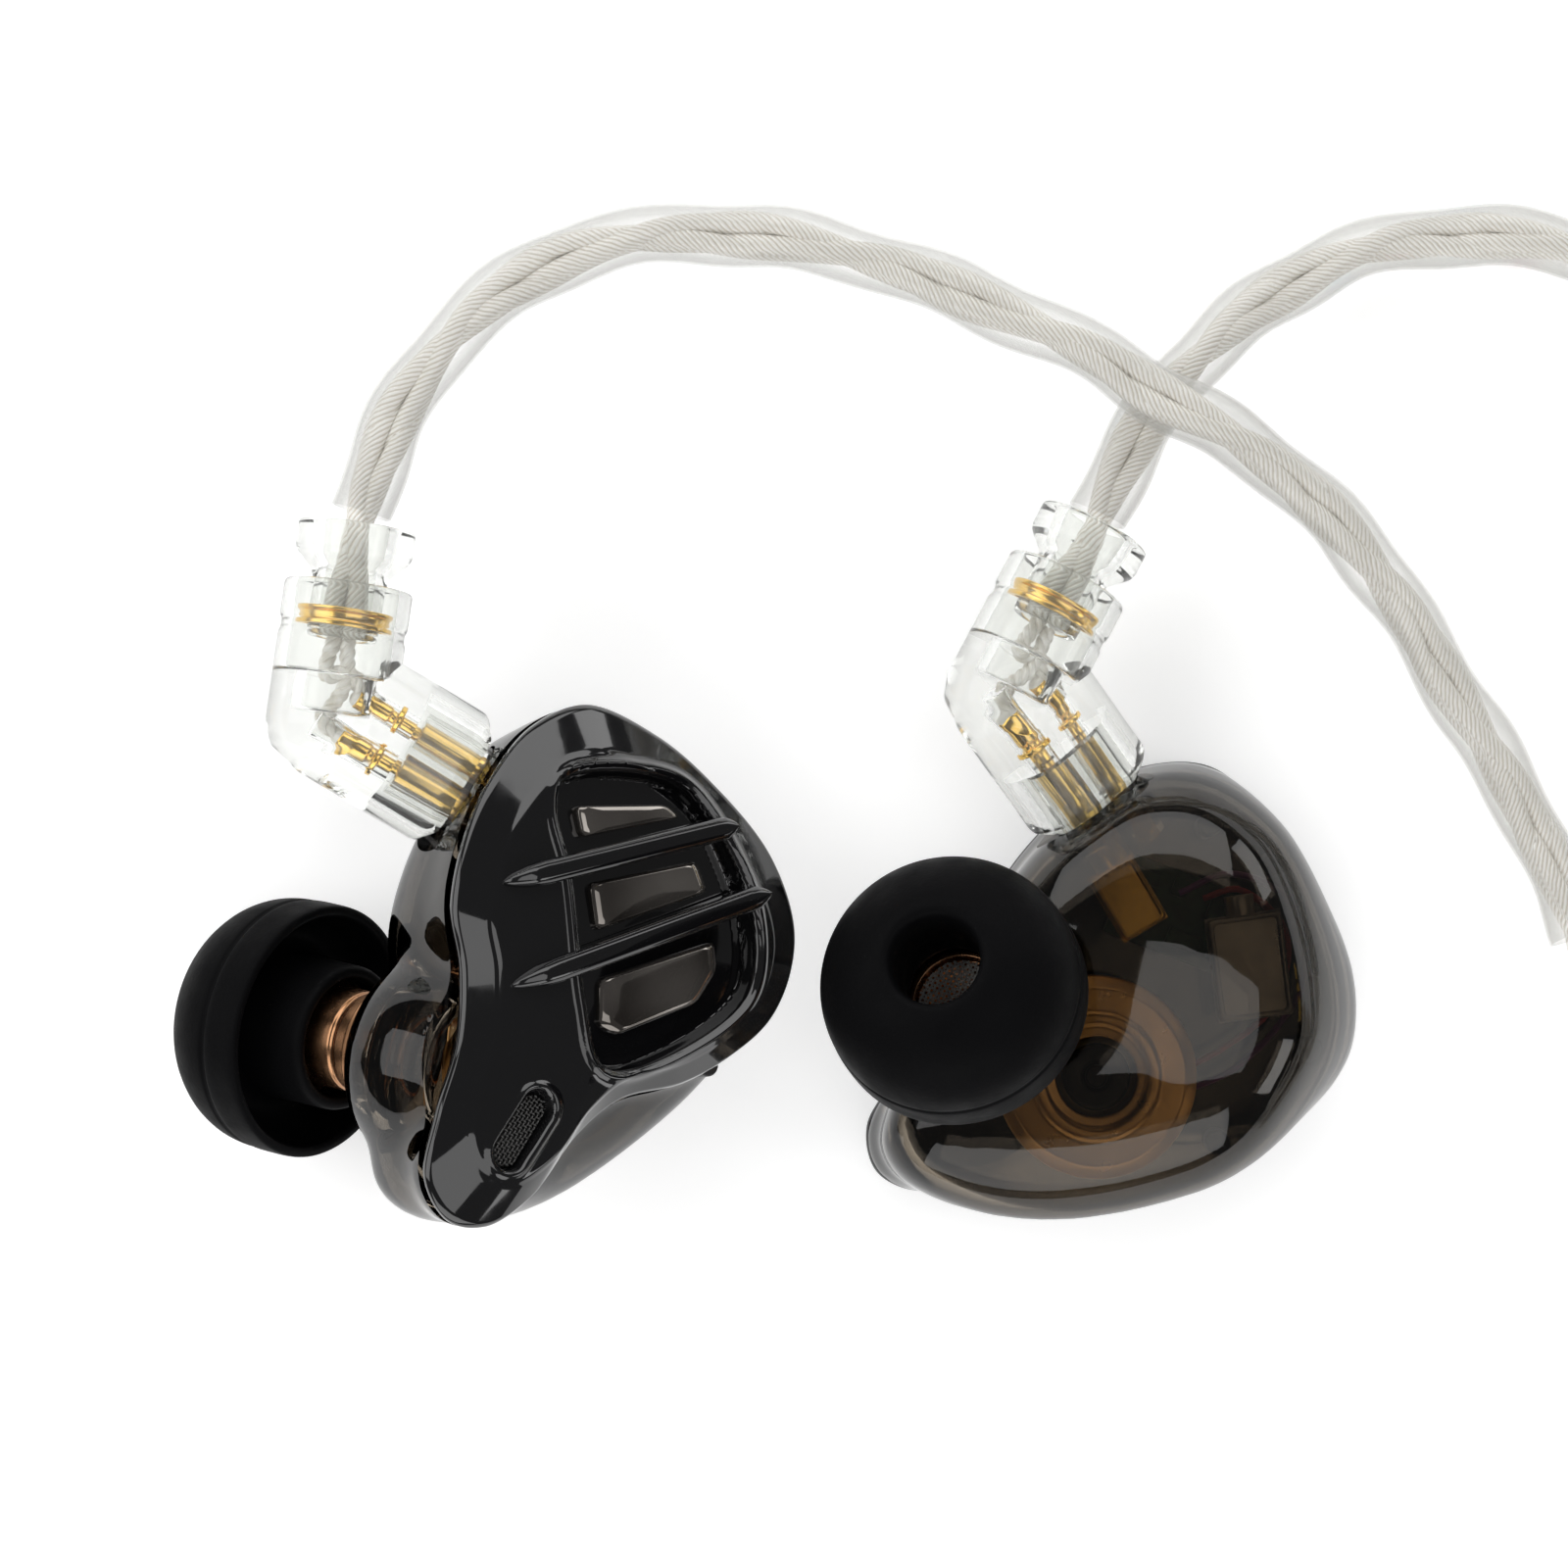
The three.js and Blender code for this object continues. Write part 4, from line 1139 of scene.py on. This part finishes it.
def hood_shape():
    """The clear elbow: an oval hood and a round neck, hollow for the socket and the cable."""
    rows = [(0.9, 0), (0, 0.7), (0, 7.3), (0.4, 8.3), (1.5, 9.2)]
    hood = moved(oval_bar(7.1, 5.2, rows), AT_HOOD)
    neck = turned([(0, -3.0), (1.7, -2.9), (2.7, -2.2), (3.1, -1.0), (3.1, 3.3), (3.0, 3.5),
                   (3.0, 3.9), (3.12, 4.1), (3.12, 5.9), (0, 5.9)], 0.3, 72)
    neck = moved(neck, AT_NECK)
    hollow = moved(oval_bar(5.1, 3.7, [(0, -1), (0, 3.6)]), AT_HOOD)
    holes = [moved(turned([(0, 3), (0.55, 3), (0.55, 7.6), (0, 7.6)], 0.1, 24), pin_matrix(s))
             for s in (-1, 1)]
    bore = moved(turned([(0, 1.4), (2.5, 1.4), (2.5, 7), (0, 7)], 0.25, 48), AT_NECK)
    throat = moved(turned([(0, -0.4), (1.5, -0.4), (1.5, 3), (0, 3)], 0.3, 32), AT_NECK)
    return combined(combined(hood, [neck], "UNION"), [hollow, *holes, bore, throat], "DIFFERENCE")


def rope(path, radius, pitch):
    """Three bare wires twisted about a path."""
    path = even(path, 60)
    side, up = frames(path)
    turn = TURN * np.linspace(0, length_of(path), len(path)) / pitch
    shapes = []
    for k in range(3):
        angle = turn + k * TURN / 3
        away = np.cos(angle)[:, None] * side + np.sin(angle)[:, None] * up
        shapes.append(tube(path + 0.5 * radius * away, 0.5 * radius, 8))
    return together(*shapes)


def solder_shape():
    """The bared cores, from the neck's bore to the solder cups of the two pins."""
    shapes = []
    for sign in (-1, 1):
        cup = HOOD_END + PIN_SIDE * (sign * PIN_PITCH / 2) + OUT * SOLDER_CUP
        knee = cup + OUT * 1.3 + UP * (0.9 if sign > 0 else 0.3)
        top = ELBOW + UP * 3.3 + OUT * (0.35 * sign)
        mid = ELBOW + UP * 1.2 + OUT * (0.5 * sign)
        path = even(curve([cup, knee, mid, top]), 40)
        shapes.append(rope(path, 0.4, 1.5))
        blob = turned([(0, -0.55), (0.35, -0.5), (0.5, 0), (0.42, 0.45), (0, 0.6)], 0.3, 24)
        shapes.append(moved(blob, aim(cup + OUT * 0.4, OUT)))
    return together(*shapes)


def earpiece(side):
    """All the looks of one earpiece, its tip and its connector."""
    body = f"{side}_earpiece"
    for name, (finish, *rest) in EARPIECE.items():
        rides = f"{side}_tip" if name == "ear_tip" else body
        fitted(side, name, SHAPES[name], finish, rides, [name], *rest)
    fitted(side, "pegs", SHAPES["pegs"], "black_plastic", body)
    for name in ("red_wire", "violet_wire"):
        fitted(side, name, SHAPES[name], name, body, slot="black_plastic")
    for sign, letter in ((-1, "a"), (1, "b")):
        contact = moved(SHAPES["contact"], pin_matrix(sign))
        node = f"socket_contact_{letter}"
        fitted(side, node, contact, "gold", body, [node])
        pin = moved(SHAPES["pin"], pin_matrix(sign))
        fitted(side, f"pin_{letter}", pin, "gold", "cable", [f"connector_pin_{letter}"])
    fitted(side, "hood", SHAPES["hood"], "clear", "cable", ["connector_housing"], crease=35)
    fitted(side, "ferrule", SHAPES["ferrule"], "gold", "cable", ["connector_ferrule"])
    fitted(side, "collar", SHAPES["collar"], "clear", "cable", ["cable_collar"])
    fitted(side, "cores", SHAPES["cores"], "solder", "cable", slot="silver_braid")
    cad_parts[f"{side}_socket_boss"].data.materials[0] = LOOKS["clear"]


# Pieces turned about an axis: profile, softness of its corners, segments, place
TURNED = {
    "nozzle": (
        [(1.9, -1.5), (2.2, -1.5), (2.2, 0.3), (3.2, 0.3), (3.2, 0.95), (2.75, 1.05), (2.5, 1.5),
         (2.5, 2.1), (2.42, 2.2), (2.42, 2.4), (2.5, 2.5), (2.5, 4.0), (2.8, 4.4), (2.8, 4.9),
         (2.5, 5.2), (2.2, 5.2), (2.2, 4.6), (1.9, 4.6), (1.9, -1.5)], 0.08, 96, AT_NOZZLE),
    # A stem over the nozzle, and a dome that turns back into a thin skirt
    "ear_tip": (
        [(2.95, -1.8), (3.6, -1.8), (3.6, 2.6), (4.4, 3.0), (5.2, 2.2), (5.68, 0.9), (5.75, 0),
         (6.22, 0), (6.3, 0.25), (6.3, 1.9), (6.2, 2.0), (6.2, 2.2), (6.27, 2.35), (6.15, 3.3),
         (5.8, 4.2), (5.15, 5.1), (4.3, 5.8), (3.4, 6.3), (2.6, 6.5), (2.25, 6.35), (2.1, 5.9),
         (2.1, 1.2), (2.95, 1.0), (2.95, -1.8)], 0.5, 128, AT_TIP),
    "pin": (
        [(0, -1.8), (0.2, -1.8), (0.38, -1.3), (0.38, 4.3), (0.66, 4.35), (0.66, 4.6),
         (0.4, 4.65), (0.4, 4.9), (0.5, 5.0), (0.5, 6.5), (0.4, 6.6), (0.38, 5.6), (0, 5.6)],
        0.06, 24, Matrix()),
    "contact": (
        [(0.45, -3.0), (0.72, -3.0), (0.72, 3.2), (0.45, 3.2), (0.45, -3.0)], 0.06, 24, Matrix()),
    "collar": (
        [(1.25, 3.2), (1.7, 3.2), (1.75, 5.9), (1.95, 6.5), (2.75, 7.3), (2.85, 7.6), (2.85, 8.8),
         (1.6, 8.8), (1.5, 7.6), (1.25, 7.2), (1.25, 3.2)], 0.18, 72, AT_NECK),
    "ferrule": (
        [(1.95, 3.75), (2.35, 3.75), (2.35, 4.05), (2.15, 4.15), (2.15, 4.4), (2.3, 4.5),
         (2.3, 4.65), (1.95, 4.65), (1.95, 3.75)], 0.06, 64, AT_NECK),
}
SHAPES = {
    name: moved(turned(rows, soft, segments), place)
    for name, (rows, soft, segments, place) in TURNED.items()
}
cup, magnet, film = [moved(shape, Matrix.Translation(DRIVER_CENTRE)) for shape in driver_shapes()]
SHAPES |= {
    "faceplate": together(face_slab(), *[fin(*ends) for ends in FINS]),
    "face_window": together(*[pane(corners) for corners in PANES]),
    "vent_mesh": vent_shape(),
    "shell": shell_shape(),
    "nozzle_screen": screen_shape(),
    "driver_cup": cup,
    "driver_magnet": magnet,
    "driver_diaphragm": film,
    "armature_bass": moved(can_shape(3.4, 5.0, 2.4),
                           Matrix.Translation((4.6, 3.2, -6.4)) @ Matrix.Rotation(0.5, 4, "Z")),
    "armature_treble": moved(can_shape(2.4, 3.4, 1.8),
                             Matrix.Translation((-2.0, 4.2, -6.8)) @ Matrix.Rotation(0.9, 4, "Z")),
    "crossover_board": board_shape(),
    "pegs": pegs_shape(),
    "red_wire": wire_between((1.6, 5.6, -4.4), (3.0, 6.6, -4.9), (5.6, 5.4, -5.0), (6.6, 2.0, -5.0),
                             (5.0, -1.0, -5.4), (3.6, -2.6, -5.2)),
    "violet_wire": wire_between((0.4, 5.4, -4.4), (2.4, 7.2, -4.8), (6.0, 6.4, -4.6),
                                (7.4, 2.4, -4.6), (6.0, -1.6, -5.0), (4.0, -3.6, -5.2)),
    "hood": hood_shape(),
    "cores": solder_shape(),
}
# The pieces of an earpiece: finish, slot where it is not the finish, crease angle if not 40
EARPIECE = {
    "faceplate": ("gloss_black", None, 50),
    "face_window": ("window_black",),
    "vent_mesh": ("steel_mesh",),
    "shell": ("smoke", None, 60),
    "nozzle": ("bronze",),
    "nozzle_screen": ("screen", "steel_mesh"),
    "ear_tip": ("silicone",),
    "driver_cup": ("copper",),
    "driver_magnet": ("dark_metal",),
    "driver_diaphragm": ("film",),
    "armature_bass": ("steel",),
    "armature_treble": ("gold",),
    "crossover_board": ("board",),
}

for side_name in SIDES:
    earpiece(side_name)
